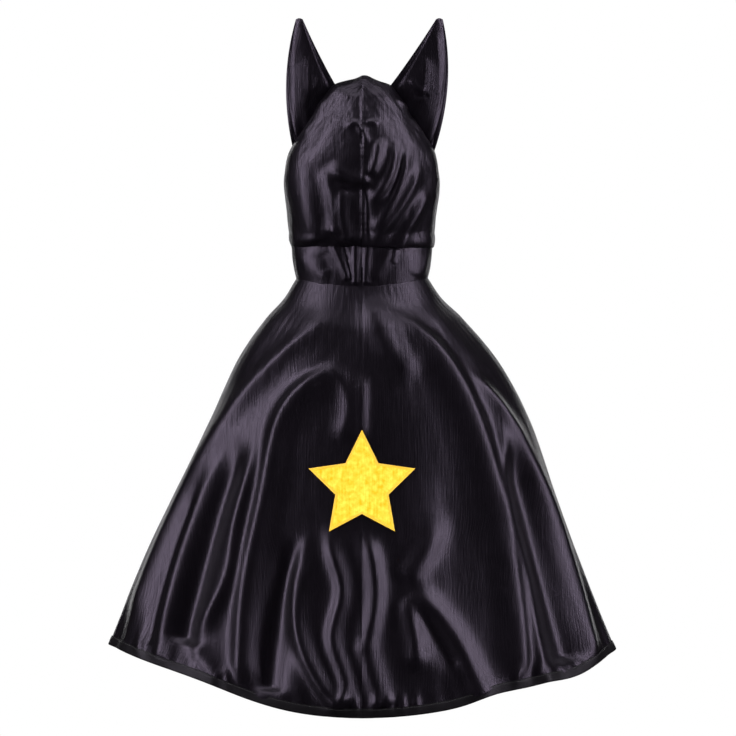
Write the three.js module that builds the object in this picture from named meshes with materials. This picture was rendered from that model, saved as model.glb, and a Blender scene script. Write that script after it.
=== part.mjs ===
// A child's hooded costume cape in satin, as it hangs on its wearer.
// Millimetres, +Z up. The origin is the centre of the neckline, the back faces -Y and the wearer looks
// along +Y, so +X is on the right of someone who stands behind the cape.
// Cloth pieces are thin closed sheets that follow one draped surface, so neighbours share its values.
import * as THREE from "three";

// ---- Driving dimensions ----
const cloth = 1.2; // thickness of one satin panel
const seamGap = 0.4; // left between two panels that are sewn edge to edge
const hoodSeamGap = 0.7; // the same round the hood's foot, where the panels also tilt
const layGap = 0.4; // left between two layers that lie on each other
const bendGap = 0.2; // added where two layers bend together

const neck = { halfWidth: 98, backDepth: 62, frontDepth: 58, backZ: -2, sideZ: 10, frontZ: -4 };
const hem = { halfWidth: 372, backDepth: 205, frontDepth: 158 };
const drop = { back: 641, side: 553, front: 600 }; // from the neckline down to the hem
const frontEdge = { neckAngle: 173, hemAngle: 150 }; // degrees round from the centre back
const folds = { depth: 9, waves: 14, startBack: 0.6, startSide: 0.3, backSpread: 40 };

const binding = { cover: 11, wall: 0.9, slotClearance: 0.6, lip: 1.5 };
const collar = { topZ: 56, halfWidth: 105, backDepth: 66, frontDepth: 60, frontAngle: 174 };
const neckTape = { width: 9, above: 2.5, thickness: 0.8, endAngle: 170 };
const crownZ = 315; // top of the hood above the neckline
const ear = { tipX: 108, tipZ: 403, tipWidth: 9, outwardBow: 24, bowAt: 0.52, standOff: 0.9 };
const earPad = { bulge: 9, cover: 1.2, baseCover: 0.7, baseShare: 0.1, clearance: 0.35, thinnest: 0.8 };
const emblem = { radius: 82, innerShare: 0.5, centreZ: -300, thickness: 1.1 };
const stitching = { width: 5, pointReach: 1.9, thickness: 0.6 };
const closure = { height: 24, centreZ: 25, reachAngle: 17, thickness: 1.2 };
const patch = { startAngle: 7, endAngle: 16.5, height: 20.5, thickness: 1.2 };

// Each profile runs from the neckline to the hem as shares of the way out (side, back, front) and down.
const drape = {
  at: [0, 0.06, 0.125, 0.25, 0.41, 0.62, 0.82, 1],
  side: [0, 0.074, 0.177, 0.354, 0.515, 0.686, 0.85, 1],
  back: [0, 0.133, 0.273, 0.45, 0.587, 0.741, 0.885, 1],
  front: [0, 0.14, 0.3, 0.5, 0.64, 0.78, 0.9, 1],
  down: [0, 0.056, 0.11, 0.226, 0.388, 0.606, 0.812, 1],
};

// The hood's rows from the collar (0) to the ridge of the crown (1).
const hoodRows = {
  at: [0, 0.09, 0.25, 0.36, 0.476, 0.66, 0.85, 0.92, 1],
  halfWidth: [collar.halfWidth, 109, 115, 115, 108, 77, 46, 25, 0],
  centreY: [0, -4, -10, -13, -15, -15, -15, -15, -15],
  backDepth: [collar.backDepth, 74, 78, 77, 71, 57, 39, 32, 27],
  frontDepth: [collar.frontDepth, 69, 89, 101, 111, 120, 129, 132, 134],
  sideRise: [0, 0.105, 0.3, 0.435, 0.57, 0.76, 0.953, 0.984, 1],
  backRise: [0, 0.104, 0.295, 0.43, 0.565, 0.735, 0.876, 0.911, 0.93],
  frontRise: [0, 0.104, 0.284, 0.42, 0.546, 0.709, 0.825, 0.845, 0.857],
  edgeAngle: [160, 150, 140, 136, 133, 131, 130, 130, 130],
};
const earRows = { low: 4, high: 6 }; // the hood rows where an ear's base seam starts and ends

// ---- Materials ----
const satin = new THREE.MeshStandardMaterial({ color: 0x17141d, roughness: 0.38, metalness: 0 });
const bindingSatin = new THREE.MeshStandardMaterial({ color: 0x1b1719, roughness: 0.5, metalness: 0 });
const velvet = new THREE.MeshStandardMaterial({ color: 0xf7bd0b, roughness: 0.85, metalness: 0 });
const yellowThread = new THREE.MeshStandardMaterial({ color: 0xf2c21a, roughness: 0.6, metalness: 0 });
const fibrefill = new THREE.MeshStandardMaterial({ color: 0xe9e7e1, roughness: 1, metalness: 0 });
const hookAndLoop = new THREE.MeshStandardMaterial({ color: 0x141316, roughness: 0.95, metalness: 0 });

// ---- The draped surface ----
const degrees = Math.PI / 180;
const lerp = THREE.MathUtils.lerp;
const smooth = (x) => THREE.MathUtils.smoothstep(x, 0, 1);

// The straight-line value of a table's column at a share of the way.
function straightAt(table, column, share) {
  let i = table.at.findIndex((at) => at >= share);
  i = Math.max(i, 1);
  const part = (share - table.at[i - 1]) / (table.at[i] - table.at[i - 1]);
  return lerp(table[column][i - 1], table[column][i], part);
}

// The same as a smooth curve through the table's points.
function curvedAt(table, column, share) {
  const at = table.at;
  const values = table[column];
  const last = at.length - 1;
  const i = Math.min(Math.max(at.findIndex((knot) => knot >= share), 1), last);
  const slope = (k) => {
    const low = Math.max(k - 1, 0);
    const high = Math.min(k + 1, last);
    return (values[high] - values[low]) / (at[high] - at[low]);
  };
  const span = at[i] - at[i - 1];
  const p = (share - at[i - 1]) / span;
  const rest = values[i] * (3 - 2 * p) * p * p + values[i - 1] * (1 + 2 * p) * (1 - p) * (1 - p);
  return rest + span * (slope(i - 1) * p * (1 - p) * (1 - p) - slope(i) * p * p * (1 - p));
}

// A point of an egg-shaped ring round the neck. The angle is 0 at the centre back and 180 at the front.
function onRing(ring, angle) {
  const c = Math.cos(angle * degrees);
  const s = Math.sin(angle * degrees);
  const depth = c > 0 ? ring.backDepth : ring.frontDepth;
  const endZ = c > 0 ? ring.backZ : ring.frontZ;
  const z = lerp(ring.sideZ, endZ, c * c);
  return new THREE.Vector3(ring.halfWidth * s, (ring.centreY ?? 0) - depth * c, z);
}

// How far the folds stand out at an angle, growing from the shoulders down to the hem.
function foldOut(angle, share) {
  const start = lerp(folds.startSide, folds.startBack, Math.exp(-((angle / folds.backSpread) ** 2)));
  const grown = smooth((share - start) / (1 - start));
  return folds.depth * grown * -Math.cos(folds.waves * angle * degrees);
}

// The middle of the cape's cloth at an angle and a share of the way from the neckline to the hem.
function capePoint(angle, share) {
  const ring = {
    halfWidth: lerp(neck.halfWidth, hem.halfWidth, curvedAt(drape, "side", share)),
    backDepth: lerp(neck.backDepth, hem.backDepth, curvedAt(drape, "back", share)),
    frontDepth: lerp(neck.frontDepth, hem.frontDepth, curvedAt(drape, "front", share)),
    sideZ: neck.sideZ - drop.side * curvedAt(drape, "down", share),
    backZ: neck.backZ - drop.back * curvedAt(drape, "down", share),
    frontZ: neck.frontZ - drop.front * curvedAt(drape, "down", share),
  };
  const point = onRing(ring, angle);
  const outward = new THREE.Vector3(point.x, point.y, 0).normalize();
  return point.addScaledVector(outward, foldOut(angle, share));
}

const edgeAngleAt = (share) => lerp(frontEdge.neckAngle, frontEdge.hemAngle, share);

// The middle of the collar's cloth. The share is 0 at the neckline and 1 at the hood seam.
function collarPoint(angle, share) {
  const clear = cloth / 2 + layGap;
  return onRing(
    {
      halfWidth: lerp(neck.halfWidth, collar.halfWidth, share),
      backDepth: lerp(neck.backDepth, collar.backDepth, share),
      frontDepth: lerp(neck.frontDepth, collar.frontDepth, share),
      sideZ: lerp(neck.sideZ + clear, collar.topZ, share),
      backZ: lerp(neck.backZ + clear, collar.topZ, share),
      frontZ: lerp(neck.frontZ + clear, collar.topZ, share),
    },
    angle,
  );
}

// The middle of the hood's cloth, from its centre seam (across 0) round to its face edge (across 1).
function hoodPoint(across, share) {
  const value = (column) => straightAt(hoodRows, column, share);
  const base = collar.topZ + hoodSeamGap;
  const rise = (column) => lerp(base, crownZ, value(column));
  const ring = {
    halfWidth: value("halfWidth"),
    centreY: value("centreY"),
    backDepth: value("backDepth"),
    frontDepth: value("frontDepth"),
    sideZ: rise("sideRise"),
    backZ: rise("backRise"),
    frontZ: rise("frontRise"),
  };
  return onRing(ring, across * value("edgeAngle"));
}

// ---- Closed solids from skins, sections and rings ----
// Two triangles for a quad whose corners are in order, split along its shorter diagonal.
function splitQuad(positions, [a, b, c, d]) {
  const acShorter = positions[a].distanceTo(positions[c]) <= positions[b].distanceTo(positions[d]);
  return acShorter ? [[a, b, c], [a, c, d]] : [[a, b, d], [b, c, d]];
}

function closedMesh(positions, faces) {
  let volume = 0;
  const [a, b, c] = [new THREE.Vector3(), new THREE.Vector3(), new THREE.Vector3()];
  for (const [i, j, k] of faces) {
    [a, b, c].forEach((v, n) => v.copy(positions[[i, j, k][n]]));
    volume += a.dot(b.cross(c));
  }
  const outward = volume > 0 ? faces : faces.map(([i, j, k]) => [i, k, j]);
  const geometry = new THREE.BufferGeometry().setFromPoints(positions);
  geometry.setIndex(outward.flat());
  geometry.computeVertexNormals();
  return geometry;
}

// A thin solid between two skins, each a list of rows of points with as many points in each row.
function solidBetween(outer, inner) {
  const rows = outer.length;
  const columns = outer[0].length;
  const positions = [...outer.flat(), ...inner.flat()];
  const faces = [];
  const quad = (...corners) => faces.push(...splitQuad(positions, corners));
  const top = (r, c) => r * columns + c;
  const under = (r, c) => rows * columns + top(r, c);
  for (let r = 0; r + 1 < rows; r++) {
    for (let c = 0; c + 1 < columns; c++) {
      quad(top(r, c), top(r, c + 1), top(r + 1, c + 1), top(r + 1, c));
      quad(under(r, c), under(r + 1, c), under(r + 1, c + 1), under(r, c + 1));
    }
    quad(top(r, 0), top(r + 1, 0), under(r + 1, 0), under(r, 0));
    quad(top(r + 1, columns - 1), top(r, columns - 1), under(r, columns - 1), under(r + 1, columns - 1));
  }
  for (let c = 0; c + 1 < columns; c++) {
    quad(top(0, c + 1), top(0, c), under(0, c), under(0, c + 1));
    quad(top(rows - 1, c), top(rows - 1, c + 1), under(rows - 1, c + 1), under(rows - 1, c));
  }
  return closedMesh(positions, faces);
}

// A solid swept through sections that all have the same closed outline of points.
function solidThrough(sections, outline) {
  const count = outline.length;
  const positions = sections.flat();
  const faces = [];
  for (let s = 0; s + 1 < sections.length; s++) {
    for (let p = 0; p < count; p++) {
      const next = (p + 1) % count;
      const [a, b] = [s * count + p, s * count + next];
      faces.push(...splitQuad(positions, [a, b, b + count, a + count]));
    }
  }
  const end = (sections.length - 1) * count;
  const area = THREE.ShapeUtils.area(outline);
  for (const [i, j, k] of THREE.ShapeUtils.triangulateShape(outline, [])) {
    if (area > 0) faces.push([i, k, j], [end + i, end + j, end + k]);
    else faces.push([i, j, k], [end + i, end + k, end + j]);
  }
  return closedMesh(positions, faces);
}

// The unit normal of a surface, from its neighbours a small step away.
function normalOf(surface, u, v, stepU, stepV) {
  const alongU = surface(u + stepU, v).sub(surface(u - stepU, v));
  const alongV = surface(u, v + stepV).sub(surface(u, v - stepV));
  return alongU.cross(alongV).normalize();
}

const steps = (from, to, count) => Array.from({ length: count + 1 }, (_, i) => lerp(from, to, i / count));

// Stations of a half panel: rows from its lower or upper edge on, each from the seam plane X = 0 out to the
// free edge. The last column is as wide as a binding covers, so a binding's slot follows the same facets.
function panelStations(surface, shares, columns, onSeam) {
  return shares.map((share, r) => {
    const nearEdge = surface(0.98, share).distanceTo(surface(1, share)) / 0.02;
    const inner = 1 - binding.cover / nearEdge;
    return [...steps(0, inner, columns - 1), 1].map((across, c) => {
      const insideShare = Math.min(Math.max(share, 0.004), 0.996);
      const normal = normalOf(surface, across, insideShare, 0.002, 0.004);
      if (onSeam(r, c)) normal.setX(0).normalize();
      return { point: surface(across, share), normal, seam: onSeam(r, c) };
    });
  });
}

// A cloth panel on one side of the seam plane: its seam edges are half a seam gap off it.
function halfPanel(stations, side) {
  const skin = (offset) =>
    stations.map((row) =>
      row.map(({ point, normal, seam }) => {
        const moved = point.clone().addScaledVector(normal, offset);
        moved.x = seam ? seamGap / 2 : Math.max(moved.x, seamGap / 2);
        return moved.setX(moved.x * side);
      }),
    );
  return solidBetween(skin(cloth / 2), skin(-cloth / 2));
}

const part = new THREE.Group();
function add(name, geometry, material, parent = part) {
  const mesh = new THREE.Mesh(geometry, material);
  mesh.name = name;
  parent.add(mesh);
}

const sides = [
  { name: "left", sign: -1 },
  { name: "right", sign: 1 },
];

// ---- Cape panels ----
const bindShare = 1 - binding.cover / drop.back; // where the hem binding's upper edge lies
const frontTop = 0.014; // where a front edge's binding starts below the collar
const upperShares = [0, frontTop, 0.06, 0.125, 0.19, 0.25, 0.33, 0.41];
const capeShares = [...upperShares, 0.51, 0.62, 0.72, 0.82, 0.91, bindShare, 1];
const capeColumns = 34;
const capeAt = (across, share) => capePoint(across * edgeAngleAt(share), share);
const capeStations = panelStations(capeAt, capeShares, capeColumns, (r, c) => c === 0);
for (const side of sides) add(`cape_panel_${side.name}`, halfPanel(capeStations, side.sign), satin);

// ---- Bindings: a folded tape that takes the cloth's edge in its slot ----
const slotHalf = cloth / 2 + binding.slotClearance;
const wallHalf = slotHalf + binding.wall;
// Each corner is at the covered station or at the edge, then so far out of the cloth and off its middle.
const bindingCorners = [
  { atEdge: false, out: 0, off: -wallHalf },
  { atEdge: true, out: binding.lip, off: -wallHalf },
  { atEdge: true, out: binding.lip, off: wallHalf },
  { atEdge: false, out: 0, off: wallHalf },
  { atEdge: false, out: 0, off: slotHalf },
  { atEdge: true, out: binding.slotClearance, off: slotHalf },
  { atEdge: true, out: binding.slotClearance, off: -slotHalf },
  { atEdge: false, out: 0, off: -slotHalf },
];
const bindingOutline = bindingCorners.map(
  ({ atEdge, out, off }) => new THREE.Vector2((atEdge ? binding.cover : 0) + out, off),
);

function bindingSection(covered, edge, mirrored) {
  const out = edge.point.clone().sub(covered.point).normalize();
  return bindingCorners.map((corner) => {
    const { point, normal } = corner.atEdge ? edge : covered;
    const moved = point.clone().addScaledVector(out, corner.out).addScaledVector(normal, corner.off);
    return mirrored ? moved.setX(-moved.x) : moved;
  });
}

const [coveredRow, hemRow] = capeStations.slice(-2);
const hemSection = (c, mirrored) => bindingSection(coveredRow[c], hemRow[c], mirrored);
const hemColumns = Array.from({ length: capeColumns + 1 }, (_, c) => c);
const hemSections = [
  ...hemColumns.slice(1).reverse().map((c) => hemSection(c, true)),
  ...hemColumns.map((c) => hemSection(c, false)),
];
add("hem_binding", solidThrough(hemSections, bindingOutline), bindingSatin);

// A front binding runs from just below the collar down to the hem binding, a seam gap short of it.
const frontShares = [...capeShares.slice(1, -2), bindShare - seamGap / drop.front];
const frontStations = panelStations(capeAt, frontShares, capeColumns, () => false);
for (const side of sides) {
  const sections = frontStations.map((row) => bindingSection(row.at(-2), row.at(-1), side.sign < 0));
  add(`front_binding_${side.name}`, solidThrough(sections, bindingOutline), bindingSatin);
}

// ---- Collar band and the tape that covers the neck seam inside it ----
const collarNormal = (angle, share) => normalOf(collarPoint, angle, share, 0.1, 0.01);
const collarShares = [0, 0.5, 1];
const collarColumns = 24;
const collarAt = (across, share) => collarPoint(across * collar.frontAngle, share);
const collarStations = panelStations(collarAt, collarShares, collarColumns, (r, c) => c === 0);
for (const side of sides) add(`collar_band_${side.name}`, halfPanel(collarStations, side.sign), satin);

// A strip that lies off the collar's surface, between two angles and two heights, at two distances.
function collarStrip(angles, shares, near, far) {
  const skin = (offset) =>
    shares.map((share) =>
      angles.map((angle) => {
        const distance = typeof offset === "function" ? offset(angle) : offset;
        return collarPoint(angle, share).addScaledVector(collarNormal(angle, share), distance);
      }),
    );
  return solidBetween(skin(far), skin(near));
}

const collarHeight = collar.topZ - neck.backZ;
const tapeShares = [neckTape.above, neckTape.above + neckTape.width].map((z) => z / collarHeight);
const tapeNear = -(cloth / 2 + layGap + bendGap);
const tapeAngles = steps(-neckTape.endAngle, neckTape.endAngle, 2 * collarColumns);
const tape = collarStrip(tapeAngles, tapeShares, tapeNear, tapeNear - neckTape.thickness);
add("neck_seam_tape", tape, bindingSatin);

// ---- Front closure: a tab sewn on the left end of the collar and pressed on the right end ----
function heightShares(height) {
  const ends = [closure.centreZ - height / 2, closure.centreZ + height / 2];
  return ends.map((z) => (z - neck.frontZ) / (collar.topZ - neck.frontZ));
}

const loopNear = cloth / 2 + layGap;
const hookNear = loopNear + patch.thickness + layGap;
const tabNear = hookNear + patch.thickness + layGap;
const fullLiftAngle = 180 + patch.startAngle / 2; // where the tab has risen clear of both patches

function tabOffset(angle) {
  const root = 180 + closure.reachAngle;
  return lerp(loopNear, tabNear, smooth((root - angle) / (root - fullLiftAngle)));
}

const patchAngles = steps(180 - patch.endAngle, 180 - patch.startAngle, 4);
const patchOn = (near) => collarStrip(patchAngles, heightShares(patch.height), near, near + patch.thickness);
const tabAngles = steps(180 - closure.reachAngle, 180 + closure.reachAngle, 12);
const tabFace = (angle) => tabOffset(angle) + closure.thickness;
add("closure_tab", collarStrip(tabAngles, heightShares(closure.height), tabOffset, tabFace), satin);
add("hook_patch", patchOn(hookNear), hookAndLoop);
add("loop_patch", patchOn(loopNear), hookAndLoop);

// ---- Hood ----
const faceFoot = 0.012; // where the face binding starts above the collar
const betweenRows = hoodRows.at.slice(1).map((at, i) => (at + hoodRows.at[i]) / 2);
const hoodShares = [...hoodRows.at, ...betweenRows, faceFoot].sort((a, b) => a - b);
const hoodColumns = 18;
const atRidge = (r) => r === hoodShares.length - 1;
const hoodStations = panelStations(hoodPoint, hoodShares, hoodColumns, (r, c) => c === 0 || atRidge(r));
for (const side of sides) add(`hood_panel_${side.name}`, halfPanel(hoodStations, side.sign), satin);

const faceSection = (row, mirrored) => bindingSection(row.at(-2), row.at(-1), mirrored);
const faceRows = hoodStations.slice(1);
const faceSections = [
  ...faceRows.map((row) => faceSection(row, true)),
  ...faceRows.slice(0, -1).reverse().map((row) => faceSection(row, false)),
];
add("hood_face_binding", solidThrough(faceSections, bindingOutline), bindingSatin);

// ---- Ears: two covers sewn round the edge, with wadding between them ----
const earLow = hoodPoint(90 / hoodRows.edgeAngle[earRows.low], hoodRows.at[earRows.low]);
const earHigh = hoodPoint(90 / hoodRows.edgeAngle[earRows.high], hoodRows.at[earRows.high]);
const earAlong = earHigh.clone().sub(earLow).normalize();
const earOut = new THREE.Vector3(earAlong.z, 0, -earAlong.x);
const earBase = cloth / 2 + ear.standOff;
const earFoot = [earLow, earHigh].map((point) => point.clone().addScaledVector(earOut, earBase));
const earTip = new THREE.Vector3(ear.tipX, earLow.y, ear.tipZ);
const earTipIn = earTip.clone().addScaledVector(new THREE.Vector3(-1, 0, 0), ear.tipWidth);

// The ear's two side edges, from its base to its blunt tip.
const outerEdge = new THREE.QuadraticBezierCurve3(
  earFoot[0],
  new THREE.Vector3(ear.tipX + ear.outwardBow, earLow.y, lerp(earFoot[0].z, ear.tipZ, ear.bowAt)),
  earTip,
);
const innerEdge = new THREE.LineCurve3(earFoot[1], earTipIn);

function earPoint(across, up, height) {
  const point = outerEdge.getPoint(up).lerp(innerEdge.getPoint(up), across);
  return point.setY(earLow.y + height);
}

// Half the thickness of the hollow between the covers: none at the edges, most a third of the way up.
function earHollow(across, up) {
  const rise = Math.sin(Math.PI * Math.min(up * 1.35, 0.5 + up * 0.47));
  return earPad.bulge * Math.sin(Math.PI * across) * Math.max(rise, 0);
}

const earAcross = steps(0, 1, 8);
const earUp = [0, 0.05, 0.13, 0.24, 0.37, 0.52, 0.67, 0.82, 0.93, 1];
const waddingAcross = earAcross.slice(1, -1);
const waddingUp = earUp.slice(2, -2);
for (const side of sides) {
  const grid = (ups, acrosses, height) =>
    ups.map((up) =>
      acrosses.map((across) => {
        const point = earPoint(across, up, height(across, up));
        return point.setX(point.x * side.sign);
      }),
    );
  for (const [face, way] of [["back", -1], ["front", 1]]) {
    const near = (across, up) => way * (seamGap / 2 + earHollow(across, up));
    const wall = (up) => lerp(earPad.baseCover, earPad.cover, smooth(up / earPad.baseShare));
    const far = (across, up) => near(across, up) + way * wall(up);
    const cover = solidBetween(grid(earUp, earAcross, far), grid(earUp, earAcross, near));
    add(`ear_${side.name}_${face}_cover`, cover, satin);
  }
  const fill = (across, up) => Math.max(earHollow(across, up) - earPad.clearance, earPad.thinnest / 2);
  const filling = solidBetween(
    grid(waddingUp, waddingAcross, fill),
    grid(waddingUp, waddingAcross, (across, up) => -fill(across, up)),
  );
  add(`ear_${side.name}_wadding`, filling, fibrefill);
}

// ---- Emblem: a plain five-pointed star on the centre back, with its border of stitches ----
// The cape's share and angle behind a point of the back view, found by Newton's method.
function capeBehind(x, z) {
  let [angle, share] = [0, 0.5];
  for (let round = 0; round < 12; round++) {
    const here = capePoint(angle, share);
    const byAngle = capePoint(angle + 0.01, share).sub(here).divideScalar(0.01);
    const byShare = capePoint(angle, share + 0.001).sub(here).divideScalar(0.001);
    const [dx, dz] = [x - here.x, z - here.z];
    const det = byAngle.x * byShare.z - byShare.x * byAngle.z;
    angle += (dx * byShare.z - dz * byShare.x) / det;
    share += (dz * byAngle.x - dx * byAngle.z) / det;
  }
  return { angle, share };
}

const starPoints = 5;
const edgeSteps = 4;
function starOutline(shrink) {
  const corners = Array.from({ length: 2 * starPoints }, (_, i) => {
    const [share, reach] = i % 2 ? [emblem.innerShare, 1] : [1, stitching.pointReach];
    const radius = emblem.radius * share - shrink * reach;
    const turn = (i * Math.PI) / starPoints;
    return new THREE.Vector2(radius * Math.sin(turn), radius * Math.cos(turn));
  });
  return corners.flatMap((corner, i) => {
    const next = corners[(i + 1) % corners.length];
    return steps(0, 1, edgeSteps).slice(0, -1).map((part) => corner.clone().lerp(next, part));
  });
}

function offCape(x, z, distance) {
  const { angle, share } = capeBehind(x, z);
  const normal = normalOf(capePoint, angle, share, 0.1, 0.001);
  return capePoint(angle, share).addScaledVector(normal, distance);
}

const emblemNear = cloth / 2 + layGap + bendGap;
function starSkin(distance) {
  const outline = starOutline(0);
  const shares = [0.25, 0.5, 0.75, 1];
  const place = (corner, share) => offCape(corner.x * share, emblem.centreZ + corner.y * share, distance);
  return [offCape(0, emblem.centreZ, distance), ...shares.flatMap((s) => outline.map((c) => place(c, s)))];
}

function starSolid() {
  const far = starSkin(emblemNear + emblem.thickness);
  const near = starSkin(emblemNear);
  const around = starOutline(0).length;
  const rings = (far.length - 1) / around;
  const faces = [];
  for (let p = 0; p < around; p++) {
    const next = (p + 1) % around;
    const at = (ring, q, under) => 1 + ring * around + q + (under ? far.length : 0);
    faces.push([0, at(0, p), at(0, next)], [far.length, at(0, next, 1), at(0, p, 1)]);
    for (let ring = 0; ring + 1 < rings; ring++) {
      faces.push([at(ring, p), at(ring + 1, p), at(ring + 1, next)]);
      faces.push([at(ring, p), at(ring + 1, next), at(ring, next)]);
      faces.push([at(ring, p, 1), at(ring + 1, next, 1), at(ring + 1, p, 1)]);
      faces.push([at(ring, p, 1), at(ring, next, 1), at(ring + 1, next, 1)]);
    }
    const rim = rings - 1;
    faces.push([at(rim, p), at(rim, p, 1), at(rim, next, 1)], [at(rim, p), at(rim, next, 1), at(rim, next)]);
  }
  return closedMesh([...far, ...near], faces);
}
add("emblem_star", starSolid(), velvet);

// The stitches as one flat ring that lies on the star's edge.
function stitchRing() {
  const near = emblemNear + emblem.thickness + layGap + bendGap;
  const loops = [
    [0, near],
    [0, near + stitching.thickness],
    [stitching.width, near + stitching.thickness],
    [stitching.width, near],
  ].map(([shrink, distance]) =>
    starOutline(shrink).map((corner) => offCape(corner.x, emblem.centreZ + corner.y, distance)),
  );
  const around = loops[0].length;
  const faces = [];
  loops.forEach((_, i) => {
    const j = (i + 1) % loops.length;
    for (let p = 0; p < around; p++) {
      const next = (p + 1) % around;
      const [a, b, c, d] = [i * around + p, i * around + next, j * around + next, j * around + p];
      faces.push([a, b, c], [a, c, d]);
    }
  });
  return closedMesh(loops.flat(), faces);
}
add("emblem_stitching", stitchRing(), yellowThread);

export default part;
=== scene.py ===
import math
import bpy
import numpy as np
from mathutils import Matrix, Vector
from mathutils.bvhtree import BVHTree


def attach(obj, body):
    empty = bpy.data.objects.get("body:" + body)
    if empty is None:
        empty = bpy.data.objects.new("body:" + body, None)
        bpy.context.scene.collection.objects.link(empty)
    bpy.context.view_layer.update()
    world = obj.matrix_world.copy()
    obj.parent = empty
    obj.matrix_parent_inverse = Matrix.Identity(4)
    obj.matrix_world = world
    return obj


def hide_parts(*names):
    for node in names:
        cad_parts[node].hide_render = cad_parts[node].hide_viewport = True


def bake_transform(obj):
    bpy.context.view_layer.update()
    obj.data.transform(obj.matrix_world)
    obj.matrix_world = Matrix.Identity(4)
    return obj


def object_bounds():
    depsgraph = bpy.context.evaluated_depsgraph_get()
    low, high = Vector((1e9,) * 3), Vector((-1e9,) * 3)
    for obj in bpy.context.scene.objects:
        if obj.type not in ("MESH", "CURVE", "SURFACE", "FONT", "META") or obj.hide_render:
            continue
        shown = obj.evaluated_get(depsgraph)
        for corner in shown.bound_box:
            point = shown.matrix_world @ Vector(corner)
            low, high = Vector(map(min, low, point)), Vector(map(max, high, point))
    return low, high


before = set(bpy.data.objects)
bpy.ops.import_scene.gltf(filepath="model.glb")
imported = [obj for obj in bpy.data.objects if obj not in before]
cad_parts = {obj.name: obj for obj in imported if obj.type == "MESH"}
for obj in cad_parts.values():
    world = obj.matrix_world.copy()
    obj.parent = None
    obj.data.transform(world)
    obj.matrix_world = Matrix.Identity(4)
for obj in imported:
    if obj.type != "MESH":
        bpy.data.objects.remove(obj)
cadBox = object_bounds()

# A hooded costume cape in black satin. Metres, its back towards -Y, its wearer looking along +Y.
neck = {
    "halfWidth": 0.098, "backDepth": 0.062, "frontDepth": 0.058,
    "sideZ": 0.010, "backZ": -0.002, "frontZ": -0.004,
}
hem = {"halfWidth": 0.372, "backDepth": 0.205, "frontDepth": 0.158}
drop = {"side": 0.553, "back": 0.641, "front": 0.600}  # from the neckline down to the hem
drape = {
    "at": [0, 0.06, 0.125, 0.25, 0.41, 0.62, 0.82, 1],
    "side": [0, 0.074, 0.177, 0.354, 0.515, 0.686, 0.85, 1],
    "back": [0, 0.133, 0.273, 0.45, 0.587, 0.741, 0.885, 1],
    "front": [0, 0.14, 0.3, 0.5, 0.64, 0.78, 0.9, 1],
    "down": [0, 0.056, 0.11, 0.226, 0.388, 0.606, 0.812, 1],
}
sideSign = {"left": -1, "right": 1}


def smooth(x):
    x = np.clip(x, 0, 1)
    return x * x * (3 - 2 * x)


def mix(a, b, t):
    return a + (b - a) * t


def curvedAt(table, column, x):  # a smooth curve through the points of a table
    at = np.asarray(table["at"], float)
    values = np.asarray(table[column], float)
    slope = np.gradient(values, at)
    slope[1:-1] = (values[2:] - values[:-2]) / (at[2:] - at[:-2])
    x = np.clip(x, at[0], at[-1])
    i = np.clip(np.searchsorted(at, x, side="left"), 1, len(at) - 1)
    span = at[i] - at[i - 1]
    p = (x - at[i - 1]) / span
    ends = values[i] * (3 - 2 * p) * p * p + values[i - 1] * (1 + 2 * p) * (1 - p) ** 2
    return ends + span * (slope[i - 1] * p * (1 - p) ** 2 - slope[i] * p * p * (1 - p))


def onRing(ring, angle):  # an egg-shaped ring round the neck: 0 is the centre back, 180 the front
    c = np.cos(np.radians(angle))
    s = np.sin(np.radians(angle))
    depth = np.where(c > 0, ring["backDepth"], ring["frontDepth"])
    endZ = np.where(c > 0, ring["backZ"], ring["frontZ"])
    y = ring.get("centreY", 0) - depth * c
    return np.stack([ring["halfWidth"] * s, y + 0 * s, mix(ring["sideZ"], endZ, c * c)], -1)


def unit(v):
    return v / np.maximum(np.linalg.norm(v, axis=-1, keepdims=True), 1e-12)


def seamed(points):  # the cloth's first edge lies on the centre seam
    points[:, 0, 0] = 0
    return points


def quadFaces(index):  # the four-sided faces between the points of a grid
    return np.stack([index[:-1, :-1], index[:-1, 1:], index[1:, 1:], index[1:, :-1]], -1).reshape(-1, 4)


def gridNormals(points):  # unit normals of a grid, pointing away from the wearer
    normals = unit(np.cross(np.gradient(points, axis=1), np.gradient(points, axis=0)))
    return -normals if np.sum(normals[..., :2] * points[..., :2]) < 0 else normals


def arcLengths(points, axis):
    steps = np.linalg.norm(np.diff(points, axis=axis), axis=-1)
    start = np.zeros_like(np.take(steps, [0], axis=axis))
    return np.concatenate([start, np.cumsum(steps, axis=axis)], axis=axis)


def meshObject(name, vertices, faces, uv, material):
    mesh = bpy.data.meshes.new(name)
    mesh.from_pydata(np.asarray(vertices, float).tolist(), [], faces)
    if uv is not None:
        loops = np.empty(len(mesh.loops), np.int32)
        mesh.loops.foreach_get("vertex_index", loops)
        mesh.uv_layers.new(name="clothUV").data.foreach_set("uv", np.asarray(uv, np.float32)[loops].ravel())
    mesh.shade_smooth()
    mesh.set_sharp_from_angle(angle=math.radians(50))
    mesh.materials.append(material)
    obj = bpy.data.objects.new(name, mesh)
    bpy.context.scene.collection.objects.link(obj)
    return obj


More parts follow.
